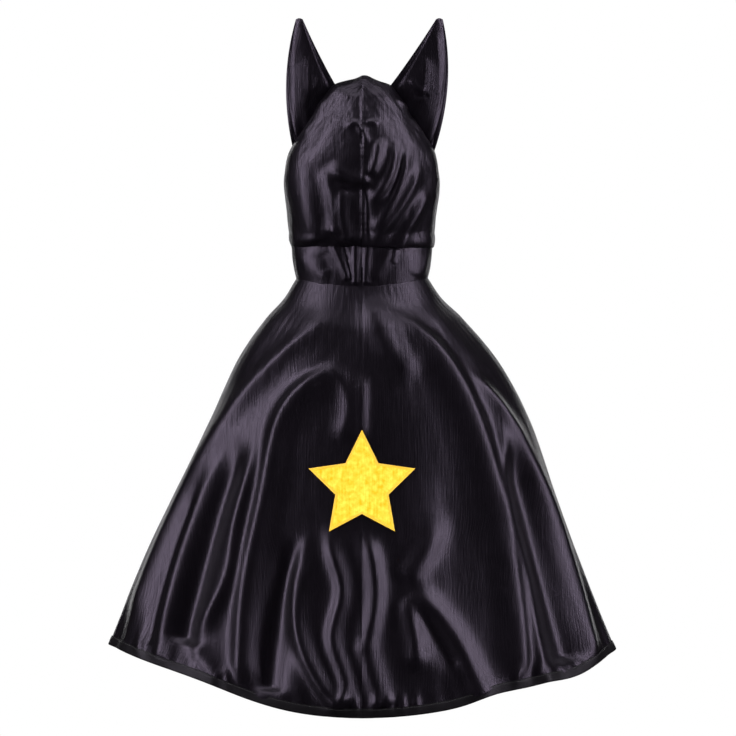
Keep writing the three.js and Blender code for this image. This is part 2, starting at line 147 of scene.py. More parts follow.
def sheetFromGrid(name, middle, thickness, material, normals):  # a thin closed sheet round a grid
    rows, columns = middle.shape[:2]
    outer = middle + normals * thickness / 2
    inner = middle - normals * thickness / 2
    index = np.arange(rows * columns).reshape(rows, columns)
    under = index + rows * columns
    facing = np.cross(np.gradient(middle, axis=1), np.gradient(middle, axis=0))
    turned = np.sum(facing * normals) < 0

    def quads(a, b, c, d, flip):
        faces = np.stack([a, b, c, d], -1).reshape(-1, 4)
        return (faces[:, ::-1] if flip else faces).tolist()

    faces = quads(index[:-1, :-1], index[:-1, 1:], index[1:, 1:], index[1:, :-1], turned)
    faces += quads(under[:-1, :-1], under[:-1, 1:], under[1:, 1:], under[1:, :-1], not turned)
    faces += quads(index[0, 1:], index[0, :-1], under[0, :-1], under[0, 1:], turned)
    faces += quads(index[-1, :-1], index[-1, 1:], under[-1, 1:], under[-1, :-1], turned)
    faces += quads(index[:-1, 0], index[1:, 0], under[1:, 0], under[:-1, 0], turned)
    faces += quads(index[1:, -1], index[:-1, -1], under[:-1, -1], under[1:, -1], turned)
    uv = np.stack([arcLengths(middle, 1), arcLengths(middle, 0)], -1).reshape(-1, 2)
    vertices = np.concatenate([outer.reshape(-1, 3), inner.reshape(-1, 3)])
    return meshObject(name, vertices, faces, np.concatenate([uv, uv]), material)


def tubeFromSections(name, sections, material):  # sections: path x around x 3, closed around, capped ends
    count, around = sections.shape[:2]
    index = np.arange(count * around).reshape(count, around)
    following = np.roll(index, -1, axis=1)
    faces = np.stack([index[:-1], following[:-1], following[1:], index[1:]], -1).reshape(-1, 4).tolist()
    faces += [index[0, ::-1].tolist(), index[-1].tolist()]
    uv = np.stack([arcLengths(sections, 1), arcLengths(sections, 0)], -1).reshape(-1, 2)
    obj = meshObject(name, sections.reshape(-1, 3), faces, uv, material)
    if signedVolume(obj.data) < 0:
        obj.data.flip_normals()
    return obj


def signedVolume(mesh):
    mesh.calc_loop_triangles()
    points = np.array([v.co for v in mesh.vertices])
    corners = points[np.array([t.vertices[:] for t in mesh.loop_triangles])]
    return np.einsum("ij,ij->", corners[:, 0], np.cross(corners[:, 1], corners[:, 2])) / 6


# Materials. Shared effects are node groups, and each finish keeps its own shader.
def nodeGroup(name, inputs, outputs):
    tree = bpy.data.node_groups.new(name, "ShaderNodeTree")
    for title, kind, value in inputs:
        socket = tree.interface.new_socket(name=title, in_out="INPUT", socket_type=kind)
        if value is not None:
            socket.default_value = value
    for title, kind in outputs:
        tree.interface.new_socket(name=title, in_out="OUTPUT", socket_type=kind)
    return tree, tree.nodes.new("NodeGroupInput"), tree.nodes.new("NodeGroupOutput")


def mathNode(tree, operation, a, b=None):
    node = tree.nodes.new("ShaderNodeMath")
    node.operation = operation
    for socket, value in zip(node.inputs, (a, b)):
        if isinstance(value, bpy.types.NodeSocket):
            tree.links.new(value, socket)
        elif value is not None:
            socket.default_value = value
    return node.outputs[0]


def noiseNode(tree, vector, scale, detail=2.0, roughness=0.5):
    node = tree.nodes.new("ShaderNodeTexNoise")
    tree.links.new(vector, node.inputs["Vector"])
    node.inputs["Detail"].default_value = detail
    node.inputs["Roughness"].default_value = roughness
    if isinstance(scale, bpy.types.NodeSocket):
        tree.links.new(scale, node.inputs["Scale"])
    else:
        node.inputs["Scale"].default_value = scale
    return node.outputs["Fac"]


def stretched(tree, vector, scale):
    node = tree.nodes.new("ShaderNodeMapping")
    tree.links.new(vector, node.inputs["Vector"])
    node.inputs["Scale"].default_value = scale
    return node.outputs["Vector"]


def makeWeave():  # long warp floats over a finer weft, on a piece's own cloth map
    tree, start, end = nodeGroup(
        "threadWeave",
        [("Cloth Map", "NodeSocketVector", None), ("Warp Share", "NodeSocketFloat", 0.75),
         ("Slub", "NodeSocketFloat", 1.0)],
        [("Height", "NodeSocketFloat"), ("Streaks", "NodeSocketFloat")],
    )
    warp = noiseNode(tree, stretched(tree, start.outputs["Cloth Map"], (3600, 260, 1)), 1.0, 1.0)
    weft = noiseNode(tree, stretched(tree, start.outputs["Cloth Map"], (240, 3000, 1)), 1.0, 1.0)
    slub = noiseNode(tree, stretched(tree, start.outputs["Cloth Map"], (420, 22, 1)), 1.0, 2.0)
    share = start.outputs["Warp Share"]
    warpPart = mathNode(tree, "MULTIPLY", warp, share)
    weftPart = mathNode(tree, "MULTIPLY", weft, mathNode(tree, "SUBTRACT", 1.0, share))
    threads = mathNode(tree, "ADD", warpPart, weftPart)
    thick = mathNode(tree, "MULTIPLY", slub, start.outputs["Slub"])
    tree.links.new(mathNode(tree, "ADD", threads, thick), end.inputs["Height"])
    tree.links.new(slub, end.inputs["Streaks"])
    return tree


def makeTone():  # slow changes of shade over a piece, as handling and steaming leave on cloth
    tree, start, end = nodeGroup(
        "clothTone",
        [("Place", "NodeSocketVector", None), ("Patch Scale", "NodeSocketFloat", 9.0)],
        [("Tone", "NodeSocketFloat"), ("Creases", "NodeSocketFloat")],
    )
    tone = noiseNode(tree, start.outputs["Place"], start.outputs["Patch Scale"], 3.0, 0.55)
    fineScale = mathNode(tree, "MULTIPLY", start.outputs["Patch Scale"], 7.0)
    fine = noiseNode(tree, start.outputs["Place"], fineScale, 4.0, 0.6)
    tree.links.new(tone, end.inputs["Tone"])
    tree.links.new(fine, end.inputs["Creases"])
    return tree


weaveGroup = makeWeave()
toneGroup = makeTone()


def clothMaterial(name, look):
    material = bpy.data.materials.new(name)
    material.use_nodes = True
    tree = material.node_tree
    shader = tree.nodes["Principled BSDF"]
    clothMap = tree.nodes.new("ShaderNodeUVMap")
    clothMap.uv_map = "clothUV"
    place = tree.nodes.new("ShaderNodeTexCoord").outputs["Object"]
    weave = tree.nodes.new("ShaderNodeGroup")
    weave.node_tree = weaveGroup
    weave.inputs["Warp Share"].default_value = look["warpShare"]
    weave.inputs["Slub"].default_value = look.get("slub", 0.3)
    tree.links.new(clothMap.outputs["UV"], weave.inputs["Cloth Map"])
    tone = tree.nodes.new("ShaderNodeGroup")
    tone.node_tree = toneGroup
    tone.inputs["Patch Scale"].default_value = look["patchScale"]
    tree.links.new(place, tone.inputs["Place"])

    colours = tree.nodes.new("ShaderNodeMix")
    colours.data_type = "RGBA"
    colours.inputs["A"].default_value = (*look["dark"], 1)
    colours.inputs["B"].default_value = (*look["light"], 1)
    patches = mathNode(tree, "MULTIPLY", tone.outputs[look.get("shadeFrom", "Tone")], 0.7)
    streaks = mathNode(tree, "MULTIPLY", weave.outputs["Streaks"], 0.3)
    shade = mathNode(tree, "ADD", patches, streaks)
    ramp = tree.nodes.new("ShaderNodeMapRange")
    ramp.inputs["From Min"].default_value = look["rampFrom"]
    ramp.inputs["From Max"].default_value = look["rampTo"]
    tree.links.new(shade, ramp.inputs["Value"])
    tree.links.new(ramp.outputs["Result"], colours.inputs["Factor"])
    tree.links.new(colours.outputs["Result"], shader.inputs["Base Color"])

    roughness = mathNode(tree, "MULTIPLY_ADD", tone.outputs["Creases"], look["roughnessSpread"])
    roughness.node.inputs[2].default_value = look["roughness"] - look["roughnessSpread"] / 2
    tree.links.new(roughness, shader.inputs["Roughness"])

    bump = tree.nodes.new("ShaderNodeBump")
    bump.inputs["Strength"].default_value = look["bumpStrength"]
    bump.inputs["Distance"].default_value = look["bumpDistance"]
    tree.links.new(weave.outputs["Height"], bump.inputs["Height"])
    if look.get("napDistance"):
        nap = tree.nodes.new("ShaderNodeBump")
        nap.inputs["Strength"].default_value = 1.0
        nap.inputs["Distance"].default_value = look["napDistance"]
        tree.links.new(tone.outputs["Creases"], nap.inputs["Height"])
        tree.links.new(nap.outputs["Normal"], bump.inputs["Normal"])
    tree.links.new(bump.outputs["Normal"], shader.inputs["Normal"])
    for socket, value in look["shader"].items():
        shader.inputs[socket].default_value = value
    return material


satin = clothMaterial("blackSatin", {
    "dark": (0.0010, 0.0008, 0.0012), "light": (0.0024, 0.0018, 0.0028), "rampFrom": 0.3, "rampTo": 0.7,
    "roughness": 0.345, "roughnessSpread": 0.13, "warpShare": 0.8, "patchScale": 9.0,
    "bumpStrength": 0.55, "bumpDistance": 0.0002, "slub": 3.5,
    "shader": {"Specular IOR Level": 0.5, "Specular Tint": (0.86, 0.7, 1.0, 1)},
})
bindingSatin = clothMaterial("bindingTape", {
    "dark": (0.0010, 0.0009, 0.0010), "light": (0.0028, 0.0025, 0.0028), "rampFrom": 0.35, "rampTo": 0.7,
    "roughness": 0.5, "roughnessSpread": 0.1, "warpShare": 0.5, "patchScale": 14.0,
    "bumpStrength": 0.3, "bumpDistance": 0.0002,
    "shader": {"Specular IOR Level": 0.32, "Specular Tint": (0.9, 0.8, 1.0, 1)},
})
velvet = clothMaterial("crushedVelvet", {
    "dark": (0.86, 0.42, 0.0), "light": (0.97, 0.68, 0.07), "rampFrom": 0.38, "rampTo": 0.62,
    "roughness": 0.72, "roughnessSpread": 0.3, "warpShare": 0.5, "patchScale": 16.0, "shadeFrom": "Creases",
    "bumpStrength": 0.35, "bumpDistance": 0.0004, "napDistance": 0.0012,
    "shader": {
        "Specular IOR Level": 0.3, "Sheen Weight": 0.6, "Sheen Roughness": 0.4,
        "Sheen Tint": (1.0, 0.85, 0.4, 1),
    },
})
fibrefill = clothMaterial("fibrefill", {
    "dark": (0.7, 0.69, 0.66), "light": (0.85, 0.84, 0.82), "rampFrom": 0.3, "rampTo": 0.7,
    "roughness": 0.95, "roughnessSpread": 0.05, "warpShare": 0.5, "patchScale": 40.0,
    "bumpStrength": 0.6, "bumpDistance": 0.001, "shader": {"Specular IOR Level": 0.2},
})
hookTape = clothMaterial("hookAndLoop", {
    "dark": (0.004, 0.004, 0.0045), "light": (0.012, 0.012, 0.013), "rampFrom": 0.3, "rampTo": 0.7,
    "roughness": 0.9, "roughnessSpread": 0.1, "warpShare": 0.5, "patchScale": 60.0,
    "bumpStrength": 0.5, "bumpDistance": 0.0004, "shader": {"Specular IOR Level": 0.3, "Sheen Weight": 0.3},
})


def threadMaterial(name, dark, light, roughness):
    material = bpy.data.materials.new(name)
    material.use_nodes = True
    tree = material.node_tree
    shader = tree.nodes["Principled BSDF"]
    tone = tree.nodes.new("ShaderNodeGroup")
    tone.node_tree = toneGroup
    tone.inputs["Patch Scale"].default_value = 60.0
    tree.links.new(tree.nodes.new("ShaderNodeTexCoord").outputs["Object"], tone.inputs["Place"])
    colours = tree.nodes.new("ShaderNodeMix")
    colours.data_type = "RGBA"
    colours.inputs["A"].default_value = (*dark, 1)
    colours.inputs["B"].default_value = (*light, 1)
    tree.links.new(tone.outputs["Tone"], colours.inputs["Factor"])
    tree.links.new(colours.outputs["Result"], shader.inputs["Base Color"])
    bump = tree.nodes.new("ShaderNodeBump")
    bump.inputs["Strength"].default_value = 0.4
    bump.inputs["Distance"].default_value = 0.0002
    tree.links.new(tone.outputs["Creases"], bump.inputs["Height"])
    tree.links.new(bump.outputs["Normal"], shader.inputs["Normal"])
    shader.inputs["Roughness"].default_value = roughness
    shader.inputs["Sheen Weight"].default_value = 0.3
    return material


blackThread = threadMaterial("blackThread", (0.006, 0.006, 0.007), (0.02, 0.019, 0.022), 0.45)
yellowThread = threadMaterial("yellowThread", (0.78, 0.42, 0.01), (0.93, 0.6, 0.04), 0.4)
print("materials made")


# Threads and stitches, made by two trees of Geometry Nodes.
def geometryTree(name, inputs):
    tree = bpy.data.node_groups.new(name, "GeometryNodeTree")
    tree.interface.new_socket(name="Geometry", in_out="INPUT", socket_type="NodeSocketGeometry")
    for title, kind in inputs:
        tree.interface.new_socket(name=title, in_out="INPUT", socket_type=kind)
    tree.interface.new_socket(name="Geometry", in_out="OUTPUT", socket_type="NodeSocketGeometry")
    start = tree.nodes.new("NodeGroupInput")
    end = tree.nodes.new("NodeGroupOutput")

    def node(kind, settings=(), **links):
        made = tree.nodes.new(kind)
        for key, value in dict(settings).items():
            setattr(made, key, value)
        for title, value in links.items():
            socket = made.inputs[title.replace("_", " ")]
            if isinstance(value, bpy.types.NodeSocket):
                tree.links.new(value, socket)
            else:
                socket.default_value = value
        return made

    return tree, start, end, node


def threadEnd(tree, start, end, node, geometry):  # smooth geometry in the thread's own material
    real = node("GeometryNodeRealizeInstances", Geometry=geometry)
    soft = node("GeometryNodeSetShadeSmooth", Geometry=real.outputs["Geometry"])
    thread = start.outputs["Thread"]
    done = node("GeometryNodeSetMaterial", Geometry=soft.outputs["Geometry"], Material=thread)
    tree.links.new(done.outputs["Geometry"], end.inputs["Geometry"])
    return tree


def makeStitchRow():  # one short rounded stitch at each step along a line
    tree, start, end, node = geometryTree("stitchRow", [
        ("Step", "NodeSocketFloat"), ("Stitch Length", "NodeSocketFloat"),
        ("Thread Radius", "NodeSocketFloat"), ("Wander", "NodeSocketFloat"),
        ("Seed", "NodeSocketInt"), ("Thread", "NodeSocketMaterial")])
    line = node("GeometryNodeMeshToCurve", Mesh=start.outputs["Geometry"])
    row = node("GeometryNodeResampleCurve", {"mode": "LENGTH"}, Curve=line.outputs["Curve"])
    tree.links.new(start.outputs["Step"], row.inputs["Length"])
    ball = node("GeometryNodeMeshUVSphere", Segments=6, Rings=4, Radius=1.0)
    half = node("ShaderNodeMath", {"operation": "MULTIPLY"})
    tree.links.new(start.outputs["Stitch Length"], half.inputs[0])
    half.inputs[1].default_value = 0.5
    size = node("ShaderNodeCombineXYZ", X=start.outputs["Thread Radius"], Y=start.outputs["Thread Radius"],
                Z=half.outputs[0])
    tangent = node("GeometryNodeInputTangent")
    wander = node("FunctionNodeRandomValue", {"data_type": "FLOAT_VECTOR"})
    tree.links.new(start.outputs["Seed"], wander.inputs["Seed"])
    for i, value in ((0, (-1, -1, -1)), (1, (1, 1, 1))):
        wander.inputs[i].default_value = value
    shift = node("ShaderNodeVectorMath", {"operation": "SCALE"})
    tree.links.new(wander.outputs[0], shift.inputs[0])
    tree.links.new(start.outputs["Wander"], shift.inputs["Scale"])
    way = node("ShaderNodeVectorMath", {"operation": "ADD"})
    tree.links.new(tangent.outputs[0], way.inputs[0])
    tree.links.new(shift.outputs[0], way.inputs[1])
    turn = node("FunctionNodeAlignRotationToVector", {"axis": "Z"}, Vector=way.outputs[0])
    placed = node("GeometryNodeInstanceOnPoints", Points=row.outputs["Curve"], Instance=ball.outputs["Mesh"],
                  Rotation=turn.outputs[0], Scale=size.outputs[0])
    return threadEnd(tree, start, end, node, placed.outputs["Instances"])


def makeThreadTubes():  # a round thread along each drawn line
    tree, start, end, node = geometryTree("threadTubes", [
        ("Thread Radius", "NodeSocketFloat"), ("Thread", "NodeSocketMaterial")])
    line = node("GeometryNodeMeshToCurve", Mesh=start.outputs["Geometry"])
    ring = node("GeometryNodeCurvePrimitiveCircle", Resolution=6, Radius=start.outputs["Thread Radius"])
    tube = node("GeometryNodeCurveToMesh", Curve=line.outputs["Curve"], Profile_Curve=ring.outputs["Curve"],
                Fill_Caps=True)
    return threadEnd(tree, start, end, node, tube.outputs["Mesh"])


stitchRowTree = makeStitchRow()
threadTubesTree = makeThreadTubes()


def grown(name, lines, tree, values):  # lines of points, turned to plain mesh by a tree
    vertices, edges = [], []
    for line in lines:
        edges += [(len(vertices) + i, len(vertices) + i + 1) for i in range(len(line) - 1)]
        vertices += np.asarray(line, float).tolist()
    mesh = bpy.data.meshes.new(name)
    mesh.from_pydata(vertices, edges, [])
    obj = bpy.data.objects.new(name, mesh)
    bpy.context.scene.collection.objects.link(obj)
    modifier = obj.modifiers.new(name, "NODES")
    modifier.node_group = tree
    for item in tree.interface.items_tree:
        if item.in_out == "INPUT" and item.name in values:
            modifier[item.identifier] = values[item.name]
    evaluated = obj.evaluated_get(bpy.context.evaluated_depsgraph_get())
    made = bpy.data.meshes.new_from_object(evaluated)
    obj.modifiers.clear()
    obj.data = made
    made.name = name
    return obj


def runningStitch(name, lines, seed, step=0.0032, length=0.0024):
    return grown(name, lines, stitchRowTree, {
        "Step": step, "Stitch Length": length, "Thread Radius": 0.00028, "Wander": 0.06, "Seed": seed,
        "Thread": blackThread})


# Folds. Each is a crest or a hollow on the back: it starts at one point (x, z), is pulled towards
# a second and ends at a third, with its height and how wide it is on its left and on its right.
# Some wander from side to side.
def foldLine(fold, count=26):
    t = np.linspace(0, 1, count)[:, None]
    start, pull, end = (np.array(point) for point in fold["line"])
    line = (1 - t) ** 2 * start + 2 * t * (1 - t) * pull + t ** 2 * end
    line[:, 0] += fold.get("wander", 0) * np.sin(2 * math.pi * fold.get("waves", 2) * t[:, 0])
    return line


def foldRelief(x, z, folds):
    total = np.zeros_like(x)
    for fold in folds:
        line = foldLine(fold)
        reach = 3.5 * max(fold["left"], fold["right"])
        low, high = line.min(0) - reach, line.max(0) + reach
        near = (x > low[0]) & (x < high[0]) & (z > low[1]) & (z < high[1])
        if not near.any():
            continue
        px, pz = x[near], z[near]
        closest = np.full(px.shape, 9.0)
        onRight = np.zeros(px.shape, bool)
        along = np.zeros(px.shape)
        for i, (a, b) in enumerate(zip(line[:-1], line[1:])):
            d = b - a
            t = np.clip(((px - a[0]) * d[0] + (pz - a[1]) * d[1]) / (d @ d), 0, 1)
            gap = np.hypot(px - a[0] - t * d[0], pz - a[1] - t * d[1])
            better = gap < closest
            closest = np.where(better, gap, closest)
            onRight = np.where(better, (pz - a[1]) * d[0] - (px - a[0]) * d[1] > 0, onRight)
            along = np.where(better, (i + t) / (len(line) - 1), along)
        width = np.where(onRight, fold["right"], fold["left"])
        power = 2.0 if max(fold["left"], fold["right"]) > 0.0185 else 1.65
        fade = smooth(along / fold.get("startFade", 0.25)) * smooth((1 - along) / fold.get("endFade", 0.2))
        total[near] += fold["height"] * fade * np.exp(-(closest / width) ** power)
    return total


def softened(grid, passes):
    for _ in range(passes):
        wide = np.pad(grid, 1, mode="edge")
        grid = (wide[:-2, 1:-1] + wide[2:, 1:-1] + wide[1:-1, :-2] + wide[1:-1, 2:] + 4 * grid) / 8
    return grid


def ripples(u, v, seed, count, low, high):  # smooth seeded waviness, with wave counts between low and high
    rng = np.random.default_rng(seed)
    total = np.zeros(np.broadcast(u, v).shape)
    for _ in range(count):
        turn = rng.uniform(0, 2 * math.pi)
        wave = rng.uniform(low, high)
        total = total + np.sin(wave * (u * math.cos(turn) + v * math.sin(turn)) + rng.uniform(0, 6.283))
    return total / math.sqrt(count)


def fold(line, height, left, right, **more):
    return {"line": line, "height": height, "left": left, "right": right, **more}


capeFolds = [
    # left shoulder and the long folds below it
    fold([(-0.03, -0.04), (-0.24, -0.16), (-0.35, -0.53)], 0.0095, 0.018, 0.014, endFade=0.1),
    fold([(-0.19, -0.23), (-0.28, -0.37), (-0.30, -0.57)], 0.0085, 0.012, 0.020, endFade=0.05),
    fold([(-0.24, -0.29), (-0.29, -0.41), (-0.32, -0.54)], -0.0050, 0.008, 0.008, endFade=0.05),
    fold([(-0.18, -0.22), (-0.23, -0.36), (-0.27, -0.54)], -0.0150, 0.020, 0.020, endFade=0.05),
    fold([(-0.16, -0.20), (-0.18, -0.42), (-0.25, -0.54)], 0.0100, 0.018, 0.012, wander=0.004),
    fold([(-0.25, -0.53), (-0.24, -0.56), (-0.21, -0.59)], 0.0060, 0.012, 0.014, endFade=0.05),
    fold([(-0.03, -0.13), (-0.16, -0.12), (-0.18, -0.61)], 0.0120, 0.012, 0.020, endFade=0.05, wander=0.005),
    # below the star
    fold([(-0.09, -0.37), (-0.13, -0.47), (-0.14, -0.61)], -0.0160, 0.024, 0.022, endFade=0.05),
    fold([(-0.07, -0.36), (-0.15, -0.50), (-0.03, -0.64)], 0.0130, 0.010, 0.018, endFade=0.05),
    fold([(-0.04, -0.34), (-0.04, -0.50), (-0.03, -0.63)], 0.0110, 0.010, 0.016, endFade=0.05, wander=-0.008),
    fold([(0.00, -0.36), (0.04, -0.46), (0.00, -0.55)], 0.0130, 0.015, 0.014),
    fold([(0.00, -0.52), (0.01, -0.57), (0.03, -0.63)], 0.0110, 0.013, 0.020, endFade=0.05),
    fold([(0.13, -0.33), (0.10, -0.40), (0.06, -0.45)], 0.0090, 0.020, 0.017, startFade=0.5),
    fold([(0.06, -0.44), (0.14, -0.51), (0.18, -0.62)], 0.0110, 0.013, 0.020, endFade=0.05),
    fold([(0.08, -0.48), (0.12, -0.53), (0.14, -0.58)], -0.0045, 0.016, 0.014),
    fold([(0.06, -0.46), (0.08, -0.51), (0.08, -0.58)], 0.0100, 0.014, 0.017),
    # right shoulder and the long folds below it
    fold([(0.03, -0.04), (0.21, -0.10), (0.24, -0.60)], 0.0120, 0.026, 0.012, endFade=0.05),
    fold([(0.20, -0.17), (0.22, -0.36), (0.28, -0.61)], 0.0095, 0.010, 0.016, endFade=0.05, wander=0.003),
    fold([(0.15, -0.12), (0.27, -0.22), (0.35, -0.57)], 0.0110, 0.012, 0.010, endFade=0.05),
    fold([(0.22, -0.22), (0.26, -0.37), (0.31, -0.57)], -0.0190, 0.024, 0.020, endFade=0.05),
    fold([(0.14, -0.20), (0.13, -0.36), (0.15, -0.52)], -0.0070, 0.034, 0.040, startFade=0.5, endFade=0.5),
    # small ones between the neck and the star
    fold([(-0.06, -0.11), (0.01, -0.17), (-0.04, -0.24)], 0.0070, 0.014, 0.018),
    fold([(0.02, -0.01), (0.01, -0.09), (0.09, -0.14)], 0.0080, 0.020, 0.026),
    fold([(0.00, -0.13), (0.00, -0.18), (0.00, -0.24)], 0.0050, 0.009, 0.008),
]
hemGathers = {"places": [-0.33, -0.20, -0.03, -0.01, 0.02, 0.04, 0.06, 0.08, 0.23, 0.26], "width": 0.0055}
hemRises = [(-0.25, 0.10, 0.013), (0.20, 0.04, 0.006), (0.33, 0.05, -0.014)]  # place, how wide, how high


def capeMiddle(angle, share):  # the middle of the cloth before its folds
    ring = {"halfWidth": mix(neck["halfWidth"], hem["halfWidth"], curvedAt(drape, "side", share)),
            "backDepth": mix(neck["backDepth"], hem["backDepth"], curvedAt(drape, "back", share)),
            "frontDepth": mix(neck["frontDepth"], hem["frontDepth"], curvedAt(drape, "front", share))}
    for end in ("side", "back", "front"):
        ring[end + "Z"] = neck[end + "Z"] - drop[end] * curvedAt(drape, "down", share)
    points = onRing(ring, angle)
    uneven = sum(high * np.exp(-((points[..., 0] - place) / wide) ** 2) for place, wide, high in hemRises)
    points[..., 2] += uneven * smooth((share - 0.55) / 0.45) * smooth((np.cos(np.radians(angle)) + 0.3) / 0.4)
    lean = 0.012 * np.exp(-((share - 0.4) / 0.22) ** 2)  # hangs a little fuller on the right
    points[..., 0] += lean * np.abs(np.sin(np.radians(angle)))
    return points


def capeGrid(sign, columns, rows):
    t = np.linspace(0, 1, columns)
    spread = 0.78 * t + 0.22 * t ** 2
    v = np.linspace(0, 1, rows)
    share = (0.72 * v + 0.28 * v ** 2)[:, None] + 0 * t
    share[-1] = 1
    edge = mix(173, 150, share)
    angle = sign * edge * spread
    points = capeMiddle(angle, share)
    normals = gridNormals(points)
    x, z = points[..., 0], points[..., 2]
    facing = smooth((np.cos(np.radians(angle)) + 0.1) / 0.35)
    relief = softened(foldRelief(x, z, capeFolds), 2) * facing
    down = arcLengths(points, 0)
    fromHem = down[-1] - down
    around = np.radians(angle) * 0.3

    frontWave = -0.009 * np.cos(np.radians(14 * angle)) * smooth((share - 0.3) / 0.7)
    relief += frontWave * (1 - facing)
    relief += 0.0010 * ripples(around * 1.0, down * 0.35, 11, 9, 25, 70) * smooth(down / 0.08)
    relief += 0.00012 * ripples(around, down * 0.5, 12, 9, 120, 240) * smooth(down / 0.05)
    gathers = ripples(np.radians(angle), 0, 21, 7, 40, 95)
    gathers = gathers + 0.6 * ripples(np.radians(angle), 0, 22, 5, 100, 150)
    relief += 0.00014 * gathers * np.exp(-down / 0.015) * smooth(down / 0.006)
    puckers = ripples(around, 0, 31, 7, 130, 330)
    relief += 0.0011 * puckers * np.exp(-fromHem / 0.022) * smooth((fromHem - 0.003) / 0.008 + 0.4)
    for place in hemGathers["places"]:
        hump = np.exp(-((x - place) / hemGathers["width"]) ** 2) * np.exp(-((fromHem - 0.017) / 0.012) ** 2)
        relief += 0.0042 * hump * facing
    seam = np.abs(np.sin(np.radians(angle))) * np.hypot(x, points[..., 1])
    relief -= 0.00025 * np.exp(-(seam / 0.0020) ** 2)
    relief += 0.0002 * np.exp(-((seam - 0.004) / 0.003) ** 2)
    relief *= smooth(share / 0.01)
    points = seamed(points + normals * relief[..., None])
    return points, unit(seamed(gridNormals(points)))


capeCounts = {"columns": 215, "rows": 200}
capeCloth = {}
pieces = {}
for side, sign in sideSign.items():
    points, normals = capeGrid(sign, capeCounts["columns"], capeCounts["rows"])
    capeCloth[side] = (points, normals)
    name = f"capePanel{side.title()}"
    pieces[name] = sheetFromGrid(name, points, 0.0009, satin, normals)
    print(name, "made")

# Bindings: a folded tape with the cloth's edge in it, and a row of stitches near its edge.
tape = {"width": 0.0128, "half": 0.0020, "slot": 0.00075, "lip": 0.0018, "groove": 0.0018}


def tapeProfile():
    a = np.array([-1, -0.93, -0.86, -0.79, -0.6, -0.35, -0.15, 0]) * tape["width"]
    b = tape["half"] * (1 - 0.28 * np.exp(-((a + tape["width"] - tape["groove"]) / 0.0007) ** 2))
    b[0] *= 0.8
    turn = np.linspace(math.pi / 2, -math.pi / 2, 9)[1:-1]
    cap = np.stack([tape["lip"] * np.cos(turn), tape["half"] * np.sin(turn)], -1)
    outer = np.concatenate([np.stack([a, b], -1), cap, np.stack([a, -b], -1)[::-1]])
    inside = np.array([-1, -0.5, 0.02]) * tape["width"]
    slot = np.full(3, tape["slot"])
    return np.concatenate([outer, np.stack([inside, -slot], -1), np.stack([inside, slot], -1)[::-1]])


def evened(values, passes=3):  # directions smoothed along a path
    for _ in range(passes):
        padded = np.concatenate([values[:1], values, values[-1:]])
        values = (padded[:-2] + 2 * padded[1:-1] + padded[2:]) / 4
    return unit(values)


def bindEdge(name, edge, out, normal):
    out = evened(out)
    normal = evened(normal)
    profile = tapeProfile()
    sections = edge[:, None] + out[:, None] * profile[None, :, :1] + normal[:, None] * profile[None, :, 1:]
    piece = tubeFromSections(name, sections, bindingSatin)
    a = tape["groove"] - tape["width"]
    lift = tape["half"] * 0.72 + 0.0001
    lines = [edge + out * a + normal * lift * way for way in (1, -1)]
    return piece, lines


def joined(left, right):  # one path from the left end over the centre to the right end
    return np.concatenate([left[::-1], right[1:]])


pointsL, normalsL = capeCloth["left"]
pointsR, normalsR = capeCloth["right"]
hemEdge = joined(pointsL[-1], pointsR[-1])
hemOut = unit(hemEdge - joined(pointsL[-5], pointsR[-5]))
hemNormal = joined(normalsL[-2], normalsR[-2])
hemBinding, hemLines = bindEdge("hemBinding", hemEdge, hemOut, hemNormal)
hemStitches = runningStitch("hemStitches", hemLines, 3)
pieces["hemBinding"] = hemBinding
pieces["hemStitches"] = hemStitches
for side, (points, normals) in capeCloth.items():
    rows = slice(3, -4)
    edge = points[rows, -1]
    out = unit(edge - points[rows, -4])
    label = side.title()
    piece, lines = bindEdge(f"frontBinding{label}", edge, out, normals[rows, -2])
    pieces[piece.name] = piece
    pieces[f"frontStitches{label}"] = runningStitch(f"frontStitches{label}", lines, 4)
print("bindings made")

# Collar band.
collar = {"topZ": 0.056, "halfWidth": 0.105, "backDepth": 0.066, "frontDepth": 0.060}
collarFolds = [
    fold([(-0.045, 0.065), (-0.03, 0.035), (-0.02, 0.005)], 0.0034, 0.005, 0.005,
         startFade=0.05, endFade=0.1),
    fold([(-0.03, 0.065), (-0.02, 0.04), (-0.015, 0.005)], -0.0024, 0.003, 0.003,
         startFade=0.05, endFade=0.1),
    fold([(-0.01, 0.065), (-0.01, 0.035), (-0.01, 0.0)], 0.0034, 0.004, 0.005, startFade=0.05, endFade=0.05),
    fold([(0.01, 0.065), (0.005, 0.035), (0.005, 0.0)], 0.0032, 0.004, 0.006, startFade=0.05, endFade=0.05),
    fold([(0.045, 0.06), (0.03, 0.03), (0.015, 0.005)], 0.0020, 0.006, 0.008),
    fold([(0.05, 0.055), (0.05, 0.045), (0.045, 0.03)], 0.0016, 0.003, 0.004),
    fold([(-0.09, 0.055), (-0.08, 0.02), (-0.045, 0.01)], 0.0022, 0.012, 0.014),
    fold([(-0.06, 0.05), (-0.055, 0.035), (-0.05, 0.02)], -0.0014, 0.010, 0.008),
    fold([(0.095, 0.05), (0.09, 0.03), (0.08, 0.01)], 0.0016, 0.010, 0.010),
]


def collarRing(share, angle, grow=0.0):
    ring = {"halfWidth": mix(neck["halfWidth"], collar["halfWidth"], share) + grow,
            "backDepth": mix(neck["backDepth"], collar["backDepth"], share) + grow,
            "frontDepth": mix(neck["frontDepth"], collar["frontDepth"], share) + grow}
    for end in ("side", "back", "front"):
        ring[end + "Z"] = mix(neck[end + "Z"], collar["topZ"], share)
    return onRing(ring, angle)


